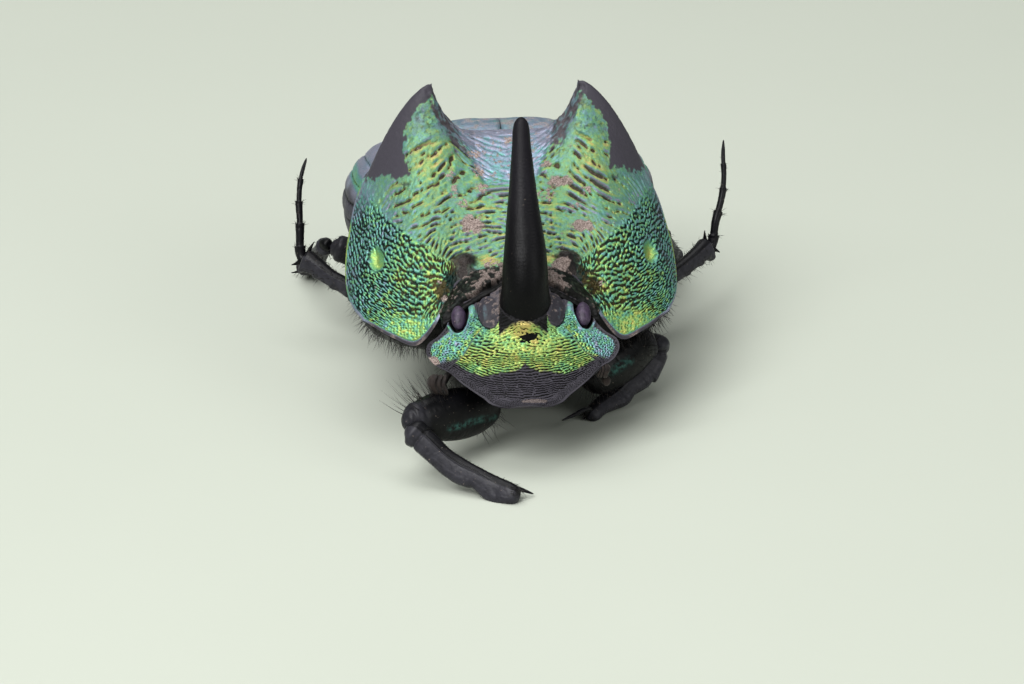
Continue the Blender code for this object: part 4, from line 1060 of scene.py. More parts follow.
def add_eye(word, sign):
    """An egg-shaped eye covered with fine facets."""
    polar, angle = polar_grid(90, 120)
    along, side, rise = np.cos(polar), np.sin(polar) * np.cos(angle), np.sin(polar) * np.sin(angle)
    pitch = 2 * math.pi / FACET
    a, b = along * EYE_REACH * pitch, (side * 0.27 - rise * 0.1) * pitch
    facets = (np.cos(a) + np.cos(0.5 * a + 0.866 * b) + np.cos(0.5 * a - 0.866 * b)) / 3
    grow = 1 + 0.012 * facets + 0.015 * noise(np.stack([along, side, rise], -1), 0.5, 101)
    points = head_place(EYE_ALONG + EYE_REACH * along * grow, sign * (EYE_SIDE + 0.235 * side * grow),
                        0.02 + 0.18 * rise * grow)
    skin = Skin()
    index = skin.grid(points, wrap=True)
    for row, tip in ((0, EYE_REACH), (-1, -EYE_REACH)):
        skin.fan(index[row], head_place(EYE_ALONG + tip, sign * EYE_SIDE, 0.02), row == 0)
    skin.close()
    skin.build("eye_ball_" + word, eye_paint(), "eye", "eye_" + word)


# Limbs.

def limb_grid(stations, wide, rows, columns, square=1.0, ends=(0.7, 0.7), outer_shape=None, width=None):
    """Points round a smooth middle line from the stations, their share of the way along and their angle."""
    table = np.asarray(stations, float)
    chords = np.concatenate([[0.0], np.cumsum(np.linalg.norm(np.diff(table[:, :3], axis=0), axis=1))])
    dense = spline(np.concatenate([chords[:, None], table], axis=1), np.linspace(0.0, chords[-1], 400))
    table = resample(dense, rows)
    line, radii = table[:, :3], np.maximum(table[:, 3:6], 0.02)
    length, share = chords[-1], np.linspace(0.0, 1.0, rows)
    if width:
        radii = radii * width(share)[:, None]
    ahead = unit(np.gradient(line, axis=0))
    across = unit(np.cross(ahead, np.broadcast_to(np.asarray(wide, float), ahead.shape)))
    side = np.cross(across, ahead)
    for from_end, size in ((share * length, ends[0]), ((1 - share) * length, ends[1])):
        inside = np.clip(from_end / np.maximum(size * radii.mean(axis=1), 1e-6), 0, 1)
        radii = radii * np.sqrt(np.clip(1 - (1 - inside) ** 2, 0.0, 1))[:, None]
    angle = np.linspace(0.0, 2 * math.pi, columns, endpoint=False)
    c, s = np.cos(angle), np.sin(angle)
    c, s = np.sign(c) * np.abs(c) ** square, np.sign(s) * np.abs(s) ** square
    outer = np.where(c[None, :] > 0, radii[:, :1], radii[:, 1:2])
    if outer_shape:
        outer = outer + outer_shape(share)[:, None] * np.clip(c[None, :], 0, 1) ** 1.5
    points = (line[:, None, :] + side[:, None, :] * (outer * c[None, :])[..., None]
              + across[:, None, :] * (radii[:, 2:3] * s[None, :])[..., None])
    return points, share[:, None], angle[None, :], across


def outward(points):
    """Unit normals of a closed grid, away from its middle line."""
    normals = grid_normals(points, True)
    away = points - points.mean(axis=1, keepdims=True)
    return normals if (normals * away).sum() > 0 else -normals


def teeth(share, table):
    """Scallops along an edge from rows (place, height, rise before, fall after)."""
    total = 0.0
    for place, height, rise, fall in table:
        before = np.clip(1 - (place - share) / rise, 0, 1) * (share <= place)
        after = np.clip(1 - (share - place) / fall, 0, 1) * (share > place)
        total = total + height * (smooth(0, 1, before) + smooth(0, 1, after))
    return total


def shin(points, share, angle, across, keel_at, seed):
    """Keel, margin bead, pits and wrinkles of a tibia. The keel's place is the cosine of its angle."""
    normals = outward(points)
    front = np.sign(across @ FRONT)[:, None] * np.sin(angle)
    c = np.cos(angle)
    face = smooth(0.0, 0.3, front)
    body = smooth(0.05, 0.12, share) * smooth(1.0, 0.93, share)
    keel = bump(c - keel_at, 0.07) * smooth(0.8, 0.6, share)
    groove = bump(c - keel_at + 0.13, 0.07) * smooth(0.8, 0.6, share)
    beads = 0.6 + 0.4 * np.cos(share * 2 * math.pi * 46 + 2 * noise(points, 0.2, seed + 3))
    margin = bump(c - 0.84, 0.12) * beads
    length, girth = np.broadcast_arrays(share * 60, c * 2)
    streaks = ridged(noise(np.stack([length, girth, 0 * girth], -1), 1.0, seed + 7), 1.5)
    striae = streaks * smooth(0.25, 0.5, c) * smooth(0.85, 0.7, c)
    hollow = bump(c - 0.25, 0.55)
    small = 0.032 * keel - 0.030 * groove + 0.024 * margin + 0.008 * striae - 0.012 * hollow
    knuckle = 0.05 * bump(share - 0.075, 0.05) - 0.05 * bump(share - 0.135, 0.018)
    rough = 0.003 * noise(points, 0.16, seed, 3) - 0.004 * smooth(0.42, 0.7, noise(points, 0.06, seed + 5))
    return lifted(points, normals, small * face * body + knuckle + rough)


def thigh(points, share, seed):
    """Pits of a femur or coxa, and the rim and groove at its far end."""
    normals = outward(points)
    pits = smooth(0.45, 0.7, noise(points, 0.085, seed))
    rim = 0.035 * bump(share - 0.90, 0.05) - 0.05 * bump(share - 0.955, 0.022)
    return lifted(points, normals, 0.006 * noise(points, 0.25, seed + 1, 3) - 0.008 * pits + rim)


def tarsus_width(share):
    """Each of five joints widens towards its end."""
    part = (share * 5.0) % 1.0
    part = np.where(share >= 1.0, 1.0, part)
    return (0.80 - 0.42 * share) * (0.80 + 0.36 * part**1.6) * smooth(1.02, 0.90, share) ** 0.4


# Hairs: start of the node's name, how many, shares of the way along, shares of the way round from the wide
# side, shortest and longest, and how they lie.
HAIRS = (
    ("femur_fore_right", 64, (0.62, 0.97), (0.32, 0.72), (0.40, 0.85),
     (("lean", (-0.7, -0.1, 0.5)), ("spread", 0.22), ("bend", (-0.1, 0.0, 0.3)), ("thick", 0.0075))),
    ("femur_fore_right", 60, (0.30, 0.75), (0.38, 0.62), (0.25, 0.55), (("lean", (-0.5, -0.2, 0.6)),)),
    ("femur_fore_right", 60, (0.00, 0.20), (0.75, 1.10), (0.30, 0.62),
     (("lean", (0.5, -0.3, -0.6)), ("spread", 0.35))),
    ("femur_fore_left", 80, (0.55, 1.00), (0.35, 0.85), (0.35, 0.75), (("lean", (-0.3, -0.2, 0.8)),)),
    ("femur_fore_left", 60, (0.00, 0.40), (0.70, 1.10), (0.25, 0.50), (("lean", (0.2, -0.5, -0.4)),)),
    ("tibia_fore", 90, (0.12, 0.97), (0.46, 0.56), (0.05, 0.13), (("along", 0.9), ("thick", 0.008))),
    ("tibia_fore", 70, (0.93, 0.99), (0.30, 0.80), (0.12, 0.30), (("along", 1.2), ("thick", 0.008))),
    ("tibia_fore", 80, (0.10, 0.90), (0.0, 1.0), (0.03, 0.08), (("along", 1.2), ("thick", 0.007))),
    ("coxa", 120, (0.10, 0.90), (0.0, 1.0), (0.20, 0.50), (("lean", (0.0, -0.2, -0.5)),)),
    ("femur_mid", 120, (0.10, 0.95), (0.0, 1.0), (0.12, 0.35), (("along", 0.6),)),
    ("femur_hind", 150, (0.10, 0.95), (0.0, 1.0), (0.12, 0.35), (("along", 0.6),)),
    ("tibia_mid", 130, (0.08, 0.95), (0.0, 1.0), (0.10, 0.32), (("along", 0.8), ("thick", 0.010))),
    ("tibia_hind", 150, (0.08, 0.95), (0.0, 1.0), (0.10, 0.32), (("along", 0.8), ("thick", 0.010))),
    ("tarsus", 22, (0.17, 0.21), (0.0, 1.0), (0.10, 0.26), (("along", 0.7), ("thick", 0.010))),
    ("tarsus", 22, (0.37, 0.41), (0.0, 1.0), (0.10, 0.26), (("along", 0.7), ("thick", 0.010))),
    ("tarsus", 22, (0.57, 0.61), (0.0, 1.0), (0.10, 0.24), (("along", 0.7), ("thick", 0.010))),
    ("tarsus", 18, (0.77, 0.81), (0.0, 1.0), (0.08, 0.20), (("along", 0.7), ("thick", 0.009))),
    ("tarsus", 40, (0.03, 0.99), (0.0, 1.0), (0.05, 0.12), (("along", 1.0), ("thick", 0.008))),
)
# Where a femur's green tint shows as a painted sheen streak in the picture, and how far it reaches.
SHEEN = (
    ("femur_fore_right", ((450, 429), (462, 425.5), (476, 420.5), (494, 417)), 5.0),
    ("femur_fore_left", ((612, 372), (622, 365), (629, 361)), 7.0),
)
# Scallops along a tibia's outer edge: place, height, rise before and fall after, as shares of its length.
FORE_TEETH = ((0.40, 0.02, 0.16, 0.06), (0.60, 0.03, 0.14, 0.06), (0.84, 0.03, 0.12, 0.06))
FORE_LEFT_TEETH = ((0.325, 0.10, 0.14, 0.012), (0.50, 0.03, 0.10, 0.04))
REAR_TEETH = ((0.45, 0.05, 0.12, 0.03), (0.72, 0.07, 0.12, 0.03), (0.98, 0.10, 0.10, 0.02))
# Points along and round a tibia and a femur of a fore leg, and of the other legs.
FORE_POINTS, REAR_POINTS = ((200, 110), (110, 90)), ((110, 64), (60, 48))
# Direction of the wide side of spines and knees, a knee's half width, and how far a foot sits in its tibia.
PLAIN_WIDE, KNEE_REACH, FOOT_SEAT = (0.1, 0.2, 1.0), 0.2, 0.18
# A spine that starts nearer than this to its tibia's end is moved this share of the way towards it.
SPINE_NEAR, SPINE_SEAT = 0.7, 0.55


def add_spine(skin, start, end, thick, bow=0.0):
    """A curved spine that tapers to a point."""
    start, end = np.array(start, float), np.array(end, float)
    way = unit(end - start)
    lift = unit(np.cross(way, (0.3, 0.9, 0.2)))
    stations = []
    for share in np.linspace(0, 1, 7):
        place = start + (end - start) * share + lift * bow * 4 * share * (1 - share)
        reach = thick * (1 - share**1.3) + 0.008
        stations.append((*place, reach, reach, reach))
    points = limb_grid(stations, PLAIN_WIDE, 26, 16, ends=(0.3, 1.0))[0]
    add_tube(skin, points, green=0.0)


def end_of(pieces, part, row=-1):
    """The place of a station of a limb's piece, its last one if no other is named."""
    return next(stations for node, _, stations in pieces if part in node)[row][:3]


def add_leg(name, pieces, material, coat, spines, edge_teeth, seed, keel_at=-0.34):
    """Makes one object of a leg's pieces, with its knee and spines, and grows its hairs."""
    skin = Skin()
    tibia_size, size = FORE_POINTS if "fore" in name else REAR_POINTS
    for k, (node, wide, stations) in enumerate(pieces):
        tile = (0.25 * k + 0.01, 0.0, 0.25 * k + 0.24, 1.0)
        part = node.split("_")[0]
        if part == "tibia":
            points, share, angle, across = limb_grid(stations, wide, *tibia_size, 0.82, (0.9, 0.5),
                                                     lambda x: teeth(x, edge_teeth))
            points = shin(points, share, angle, across, keel_at, seed + k)
            # The tibia's broad face beyond the keel gets a painted highlight.
            green, satin = 0.0, 0.15 + 0.85 * smooth(keel_at - 0.04, keel_at + 0.06, np.cos(angle))
        elif part == "tarsus":
            knuckle = np.array(end_of(pieces, "tibia"))
            inner = knuckle + FOOT_SEAT * unit(np.array(end_of(pieces, "tibia", -2)) - knuckle)
            stations = ((*inner, 0.20, 0.20, 0.20), *stations)
            points, share, _, _ = limb_grid(stations, wide, 140, 32, 1.0, (0.5, 1.0), None, tarsus_width)
            points = thigh(points, 0 * share, seed + k)
            green, satin = 0.0, 0.15
        elif part == "spur":
            slim = [(x, y, z, *(0.62 * reach for reach in reaches)) for x, y, z, *reaches in stations]
            points = limb_grid(slim, wide, 60, 36, 1.0, (0.5, 3.0))[0]
            green, satin = 0.0, 0.2
        else:
            points, share, _, _ = limb_grid(stations, wide, *size, 0.92, (0.9, 0.7))
            points = thigh(points, share if part == "femur" else 0 * share, seed + k)
            # A femur's far end gets a painted highlight.
            green, satin = 0.0, 0.6 * smooth(0.80, 0.90, share) * (part == "femur")
            # Paints the green sheen streak along the table's line, on faces turned towards the camera.
            for held, line, reach in SHEEN:
                if node == held:
                    green = smooth(reach, 0.0, from_line(seen(points, False), line))
                    green = green * (outward(points) @ FRONT > 0.2)
        add_tube(skin, points, tile, green=green, satin=satin)
        normals = outward(points)
        for held, count, rows, columns, length, rest in HAIRS:
            if node.startswith(held):
                coat.grow(points, normals, count, rows, columns, length, tile=tile, **dict(rest))
    if "fore" not in name:
        bend = end_of(pieces, "femur"), end_of(pieces, "tibia", 0), end_of(pieces, "tibia", 1)
        knee = limb_grid([(*place, *[KNEE_REACH] * 3) for place in bend], PLAIN_WIDE, 30, 24)[0]
        add_tube(skin, knee, green=0.0)
    shin_end = np.array(end_of(pieces, "tibia"))
    for start, end, thick, bow in spines:
        start = np.array(start, float)
        near_end = np.linalg.norm(start - shin_end) < SPINE_NEAR
        add_spine(skin, start + SPINE_SEAT * (shin_end - start) * near_end, end, thick, bow)
    skin.build(name, material, "black_cuticle", *[node for node, _, _ in pieces])


def mirrored(row, sign):
    """A row of numbers with x on the side that the sign says."""
    return (sign * row[0], *row[1:])


def mirrored_pieces(pieces, word, sign):
    """A limb's pieces for one side, with the side's word in their names."""
    return [(name + "_" + word, mirrored(wide, sign), [mirrored(row, sign) for row in stations])
            for name, wide, stations in pieces]


# Pronotum.

def pronotum_surface(v, across):
    """Points of the pronotum's upper skin at a share v of the way back and a share across from -1 to 1."""
    across, v = np.meshgrid(across, v)
    shape = v.shape
    side, roof = spline(PRONOTUM_SIDE, v.ravel()), spline(PRONOTUM_ROOF, v.ravel())
    half, edge = side[:, 0].reshape(shape), side[:, 2].reshape(shape)
    middle, ridge, crest = (roof[:, k].reshape(shape) for k in range(3))
    flank = np.clip((np.abs(across) - RIDGE_COLUMN) / (1 - RIDGE_COLUMN), 0, 1)
    u = ridge * np.minimum(np.abs(across) / RIDGE_COLUMN, 1) + (half - ridge) * np.sin(flank * math.pi / 2)
    front = spline(PRONOTUM_FRONT, (u * PRONOTUM_FRONT[-1][0] / half).ravel())
    back = spline(PRONOTUM_BACK, (u * PRONOTUM_BACK[-1][0] / half).ravel())
    front_y, front_z = (front[:, k].reshape(shape) for k in range(2))
    back_y, back_z = (back[:, k].reshape(shape) for k in range(2))
    y = front_y + (back_y - front_y) * v
    dome = edge + (middle - edge) * np.clip(1 - (u / half) ** 2.4, 0, 1) ** 0.588
    s = np.minimum(u, ridge) / ridge
    soft = smooth(0.74, 0.60, v)
    inner = middle + (crest - middle) * (s**4.5 * (1 - soft) + s**4 * (5 - 4 * s) * soft)
    outer = edge + (crest - edge) * (1 - (np.maximum(u - ridge, 0) / (half - ridge)) ** 1.7)
    fin = np.where(u < ridge, inner, outer)
    z = dome + (fin - dome) * smooth(0.25, 0.65, v)
    z = z + (front_z - z) * np.clip(1 - v / 0.34, 0, 1) ** 2.2
    z = z + (back_z - z) * smooth(0.88, 1.0, v)
    return np.stack([np.copysign(u, across), y, z], axis=-1)


def pronotum_grid(rows, inner, outer):
    """The upper skin with points spaced evenly, so many between the ridges and outside each of them."""
    steps = 160
    v = np.linspace(0.0, 1.0, steps + 1)
    across = np.concatenate([np.linspace(-1, -RIDGE_COLUMN, steps + 1)[:-1],
                             np.linspace(-RIDGE_COLUMN, RIDGE_COLUMN, steps + 1),
                             np.linspace(RIDGE_COLUMN, 1, steps + 1)[1:]])
    even = []
    for row in pronotum_surface(v, across):
        left, middle, right = row[:steps + 1], row[steps:2 * steps + 1], row[2 * steps:]
        even.append(np.concatenate([resample(left, outer)[:-1], resample(middle, inner),
                                    resample(right, outer)[1:]]))
    even = np.array(even)
    return np.stack([resample(even[:, j], rows) for j in range(even.shape[1])], axis=1)


# Where features of the pronotum show on the picture's left half, and the run of its ridges there:
# across, down, degrees from level, reach.
RUGAE = (
    (358, 205, 72, 14), (350, 250, 80, 14), (352, 300, 72, 12), (372, 330, 25, 10), (376, 232, 58, 12),
    (392, 250, 44, 12), (404, 268, 34, 12), (390, 285, 40, 12), (384, 308, 34, 12), (418, 284, 8, 11),
    (436, 286, 0, 8), (447, 262, 90, 8), (430, 268, 42, 8), (436, 306, 128, 8), (428, 322, 112, 8),
    (405, 318, 20, 12), (410, 300, 14, 11),
)
# The run of the folds and pits of its middle.
FOLDS = (
    (400, 150, -22, 14), (418, 120, -14, 14), (420, 165, -32, 14), (445, 165, -46, 11), (440, 190, -34, 14),
    (405, 190, -30, 12), (470, 190, -36, 12), (500, 200, -6, 16), (526, 200, 0, 16), (470, 212, -20, 12),
    (505, 225, 2, 14), (440, 215, -24, 12), (420, 215, -18, 12), (455, 232, -18, 12), (441, 245, -66, 9),
    (470, 245, -15, 12), (500, 250, -25, 12), (526, 240, 0, 14), (400, 214, -8, 12), (385, 200, -55, 12),
    (470, 150, 42, 12), (486, 165, 30, 12), (500, 150, 14, 14), (526, 150, 0, 14), (360, 200, -75, 12),
)
SIDE_FIELD_EDGE = ((175, 352), (185, 360), (200, 372), (215, 384), (226, 396), (236, 412), (246, 426),
                   (256, 440), (264, 452), (275, 456), (330, 460))
BLACK_FACE_EDGE = (
    (80, 437), (97, 430), (105, 422), (117, 413), (130, 407), (150, 404), (165, 407), (178, 411),
)
# Hue of the rim against the place down the picture.
RIM_HUES = (
    (180, 0.75), (194, 0.70), (200, 0.05), (216, 0.05), (228, 0.74), (282, 0.74), (296, 0.42), (306, 0.05),
    (345, 0.0),
)
# Painted shade in hollows: middle, half width, half height and strength.
SHADES = (
    ((464, 281), 25, 23, 2.9), ((443, 291), 15, 20, 1.1), ((464, 262), 22, 15, 1.7),
    ((405, 184), 14, 8, 0.75),
)
# The tip of a prong, in millimetres.
PRONG_TIP = (2.33, 8.95, 9.60)
PRONG_SEAM = ((432, 90), (437, 104), (443, 114), (450, 124), (456, 134), (460, 146), (463, 158))
FOVEA, TUBERCLE = (376.0, 259.0), (465.5, 263.0)
# Patches of soil on the whole picture: across, down, half width, half height. Small ones have gaps.
DUST = (
    (471, 224, 12, 10), (450, 176, 6, 5), (492, 263, 8, 5), (440, 282, 3, 2), (583, 226, 10, 7),
    (559, 181, 14, 5), (561, 268, 10, 8), (529, 268, 9, 6), (378, 288, 3, 2), (455, 192, 4, 8),
    (474, 152, 7, 5), (479, 170, 6, 7), (463, 203, 6, 4), (497, 158, 5, 3), (547, 194, 9, 6),
    (586, 190, 6, 4), (546, 164, 6, 3), (482, 188, 7, 5), (600, 283, 5, 3), (445, 300, 4, 4),
    (421, 268, 2, 2), (508, 137, 5, 3), (575, 205, 7, 3),
)
SMALL_PATCH = 9
# Rows, points between the ridges and points outside each ridge, of the upper and the lower skin.
PRONOTUM_POINTS, PRONOTUM_LOW_POINTS = (400, 175, 285), (41, 17, 23)


def along_edge(edge, y):
    """Values at y of a broken line through the rows (y, value)."""
    table = np.array(edge, float)
    return np.interp(y, table[:, 0], table[:, 1])


def add_pronotum():
    """The pronotum's shield with its large forms, then its wrinkles, then the fields of its colours."""
    top = pronotum_grid(*PRONOTUM_POINTS)
    normals = upward(grid_normals(top))
    place, whole = seen(top), seen(top, False)
    px, py = place[..., 0], place[..., 1]
    across = np.linalg.norm(np.diff(top, axis=1), axis=-1)
    from_left = np.pad(np.cumsum(across, axis=1), ((0, 0), (1, 0)))
    from_right = np.pad(np.cumsum(across[:, ::-1], axis=1)[:, ::-1], ((0, 0), (0, 1)))
    down = np.linalg.norm(np.diff(top, axis=0), axis=-1)
    from_front = np.pad(np.cumsum(down, axis=0), ((1, 0), (0, 0)))
    from_edge = np.minimum(np.minimum(from_left, from_right), from_front)
    keep = smooth(0.0, 0.10, np.minimum(from_edge, from_front[-1] - from_front))
    facing = normals @ FRONT
    ahead = smooth(-0.1, 0.2, facing)

    def near(centre, wide, tall):
        """1 at a place of the picture, falling to 0 at an oval round it."""
        return smooth(1.0, 0.0, np.hypot((px - centre[0]) / wide, (py - centre[1]) / tall)) * ahead

    # Where the parts of the surface lie, and their large forms.
    side = along_edge(SIDE_FIELD_EDGE, py) - px + 5 * noise(top, 0.4, 3, 2)
    side = smooth(-5, 5, side) * smooth(172, 184, py)
    outer = along_edge(BLACK_FACE_EDGE, py) - px + 3 * noise(top, 0.4, 5, 3) + 4 * noise(top, 0.11, 4, 3)
    floor = 177 + 5 * noise(top, 0.4, 9, 3) + 5 * noise(top, 0.12, 2, 3) - 0.10 * (px - 385)
    tip = smooth(98, 92, py + 5 * noise(top, 0.25, 8, 2))
    black = np.maximum(smooth(-1.2, 1.2, outer) * smooth(-1.5, 1.5, floor - py), tip) * ahead
    back_black = smooth(6.4, 7.6, top[..., 2] + 1.1 * noise(top, 0.5, 71, 3))
    black = np.maximum(black, smooth(0.1, -0.1, facing) * back_black)
    seam = from_line(place, PRONG_SEAM) + 3 * noise(top, 0.2, 6, 3)
    strip = smooth(8, 4.5, seam) * smooth(164, 150, py) * smooth(-0.7, -0.4, facing)
    valley = smooth(-3, 4, (px - 441) * 0.91 - (py - 91) * 0.42) * smooth(196, 172, py)
    knob = near(TUBERCLE, 16, 13)
    high = smooth(150, 130, py) * (px < 475)
    hole = smooth(1.3, 0.4, np.hypot((px - FOVEA[0]) / 7.5, (py - FOVEA[1]) / 12.5)) * ahead
    shade = np.maximum.reduce([strength * near(*spot) for *spot, strength in SHADES])
    shade = np.clip(shade * (1.2 + 0.5 * noise(top, 0.2, 56, 3)), 0, 1)
    peak = smooth(0.25, 0.0, np.linalg.norm(np.abs(top) - np.array(PRONG_TIP), axis=-1))
    large = (0.20 * knob - 0.20 * hole - 0.12 * near((459, 284), 16, 14) - 0.12 * valley
             - 0.05 * strip - 0.05 * peak)
    points = lifted(top, normals, large * keep)

    # Wrinkles of the sides.
    steps = flow_steps(points, blended_angle(place, RUGAE))
    rim_side = smooth(372, 356, px) * smooth(300, 280, py)
    rugae = drag(waves(points, 0.124, 11) + 0.55 * waves(points, 0.20, 17), steps, 0.062)
    worms = drag(waves(points, 0.165, 13), steps, 0.14)
    rugae = rugae / rugae.std() * (1 - rim_side) + worms / worms.std() * rim_side
    rugae = ridged(rugae - 0.25 * rim_side - 0.20 + 0.85 * noise(top, 0.13, 12, 2), 1.7)
    lobe = smooth(308, 332, py) * smooth(366, 398, px)
    dots = 1 - smooth(0.0, 0.30, cell_distance(whole[..., 0] / 3.3, whole[..., 1] / 2.8, 21) - 0.12)
    rough = rugae * (1 - lobe) + (1 - 0.62 * dots) * lobe

    # Folds and pits of the middle.
    steps = flow_steps(points, blended_angle(place, FOLDS))
    wide = drag(waves(points, 0.29, 31), steps, 0.30)
    close = drag(waves(points, 0.19, 37), steps, 0.13)
    low = smooth(198, 226, py)
    folds = wide / wide.std() * (1 - 0.55 * low) + close / close.std() * (0.35 + 0.45 * low)
    folds = folds + 0.95 * noise(top, 0.45, 33, 3)
    folds = folds / folds.std()
    step_i, step_j = flow_steps(points, 90 + 0 * px)
    rise = np.gradient(folds, axis=0) * step_i + np.gradient(folds, axis=1) * step_j
    rise = rise / rise.std()
    middle = (1 - side) * (1 - black) * ahead
    pitted = middle * (1 - 0.75 * valley) * smooth(268, 250, py) * smooth(352, 378, px)
    pitted = pitted * (1 - 0.75 * smooth(212, 196, py) * smooth(398, 380, px))
    pitted = pitted * (1 - knob) * (1 - 0.9 * high)
    # Painted light and shade of the folds: the edges above the pits are painted as shaded lines, and the
    # walls that rise towards the front as lit, yellower ones.
    deep = smooth(0.80, 1.45, -folds + 0.45 * noise(top, 0.14, 35, 2)) * pitted
    shaded_brink = smooth(0.5, 1.6, -rise) * pitted
    glow = smooth(0.0, 1.3, rise + 0.3 * noise(top, 0.2, 36)) * pitted
    wrinkle = ridged(drag(waves(points, 0.10, 41), flow_steps(points, -62 + 0 * px), 0.20), 1.0)
    grain = noise(top, 0.075, 43, 2)

    # Height of the small forms, and of the soil that lies on them.
    bead = bump(from_edge - 0.07, 0.10) * smooth(182, 192, py) * smooth(452, 444, px)
    inside = smooth(0.12, 0.20, from_edge)
    calm = np.maximum.reduce([hole, knob, 0.25 * near((440, 290), 13, 14)])
    tall = side * inside * (1 - 0.9 * calm) * (0.4 + 0.6 * smooth(188, 226, py))
    soft = (0.010 - 0.005 * np.maximum(valley, high)) * np.clip(folds, -1.5, 1.6)
    small = (0.046 * rough * tall + (soft - 0.055 * deep) * middle
             + 0.002 * wrinkle * black + 0.008 * noise(top, 0.12, 55, 3) * black + 0.03 * bead
             + 0.008 * grain * middle + 0.02 * noise(top, 0.8, 57, 2) * middle
             + 0.03 * noise(top, 0.16, 58, 2) * strip)
    frayed = 0.55 * noise(top, 0.15, 61, 3)
    gaps = 0.9 * smooth(-0.1, 0.3, noise(top, 0.08, 62, 2))
    dust = 0.0
    for patch in DUST:
        edge = oval(whole, patch) + frayed + gaps * (patch[2] <= SMALL_PATCH)
        dust = dust + smooth(1.1, 0.8, edge)
    crumbs = smooth(0.52, 0.60, noise(top, 0.10, 65, 2) + 0.12 * valley) * np.maximum(valley, 0.7 * pitted)
    brown = smooth(0.0, 0.35, noise(top, 0.4, 48, 2)) * smooth(322, 328, py)
    brown = brown * smooth(0.13, 0.05, from_edge + 0.08 * noise(top, 0.2, 66, 2))
    dust = np.clip(np.maximum(dust, 0.8 * crumbs), 0, 1) * ahead
    small = small + dust * (0.012 + 0.02 * noise(top, 0.05, 63))
    points = lifted(points, normals, small * keep)
    turned = upward(grid_normals(points))

    # Fields of the colours.
    # Hue follows how far each face turns towards the camera's direction, which paints in the iridescent
    # shift seen from there: faces turned to it go yellower, faces turned away more lavender.
    hue = 0.10 + 0.52 * facing + 0.14 * (turned @ FRONT - facing) + 0.14 * noise(top, 0.45, 67, 3)
    hue = hue + side * (0.02 + 0.30 * noise(top, 0.10, 68, 2)) + middle * 0.10 * noise(top, 0.07, 69, 2)
    # Hue of the folds, with yellower walls painted as lit and lavender edges painted as shaded.
    folded = (-0.03 + 0.30 * glow + 0.50 * deep - 0.50 * shaded_brink - 0.10 * high
              + 0.30 * high * noise(top, 0.14, 52, 3))
    hue = hue + middle * folded - 0.42 * valley * (0.75 + 0.5 * noise(top, 0.3, 70, 2))
    yellow = near((425, 162), 30, 34) + near((480, 205), 30, 14) + near((415, 200), 16, 12)
    hue = hue + 0.12 * yellow + 0.05 * smooth(300, 330, py) * side + 0.14 * near((442, 290), 15, 18)
    hue = hue + 0.60 * near((490, 261), 22, 10) - 0.22 * smooth(366, 350, px) * side * (py < 226)
    # Painted light in the fovea: its lower left is yellower, as lit, and its lower right lavender.
    hue = hue + hole * (0.56 + 0.26 * smooth(4, -5, (px - 376) - 0.4 * (py - 259))
                        - 0.45 * smooth(264, 270, py) * smooth(374, 379, px) - hue)
    rim = smooth(0.17, 0.13, from_edge) * smooth(182, 192, py) * smooth(452, 444, px)
    hue = hue + (along_edge(RIM_HUES, py) - hue) * rim
    # Painted shade: this field falls in the valleys of the rugae, in the pits, on the shaded edges over
    # them, in the shade ovals, in the fovea and on the black face.
    relief = 1 - side * (1 - rough**1.25) * inside * (1 - calm) * (0.55 + 0.45 * smooth(188, 226, py))
    relief = np.minimum(relief, 1 - 0.94 * deep)
    relief = np.minimum(relief, 1 - 0.62 * shaded_brink)
    relief = np.minimum(relief, 1 - 0.45 * smooth(0.15, 0.55, grain) * middle)
    bare = black > 0.5
    # Painted shade on the black face in a band next to its inner edge, leaving it lighter towards the outer
    # edge as a painted highlight.
    black_face_painted_shade = 0.35 * np.clip(outer / 14, 0, 1) ** 0.5 * bare * (py < 190) * smooth(24, 4, outer)
    relief = relief * (1 - black_face_painted_shade - 0.16 * bare * smooth(-0.2, 0.4, noise(top, 0.16, 46, 3)))
    relief = relief * (1 - 0.50 * high * middle * smooth(-0.25, 0.35, noise(top, 0.13, 51, 3))
                       - 0.10 * high * middle)
    relief = np.where(rim > 0.5, 1.0, relief) * (1 - 0.88 * shade)
    relief = relief * (1 - 0.25 * side * smooth(0.0, 0.5, noise(top, 0.22, 54, 2)))
    # Painted shade on the fovea's right side.
    relief = relief * (1 - 0.75 * bump(hole - 0.3, 0.25) * smooth(374, 381, px))
    edge_dark = smooth(318, 326, py) * smooth(0.16, 0.11, from_edge)
    wedge = np.maximum(near((466, 262), 14, 10), 0.9 * near((463, 272), 10, 13))
    wedge = smooth(0.22, 0.46, wedge + 0.34 * noise(top, 0.13, 53, 3))
    # Black patches along the seam's groove, on faces turned away from the camera.
    seam_darkening = strip * smooth(-0.35, 0.1, noise(top, 0.14, 59, 2))
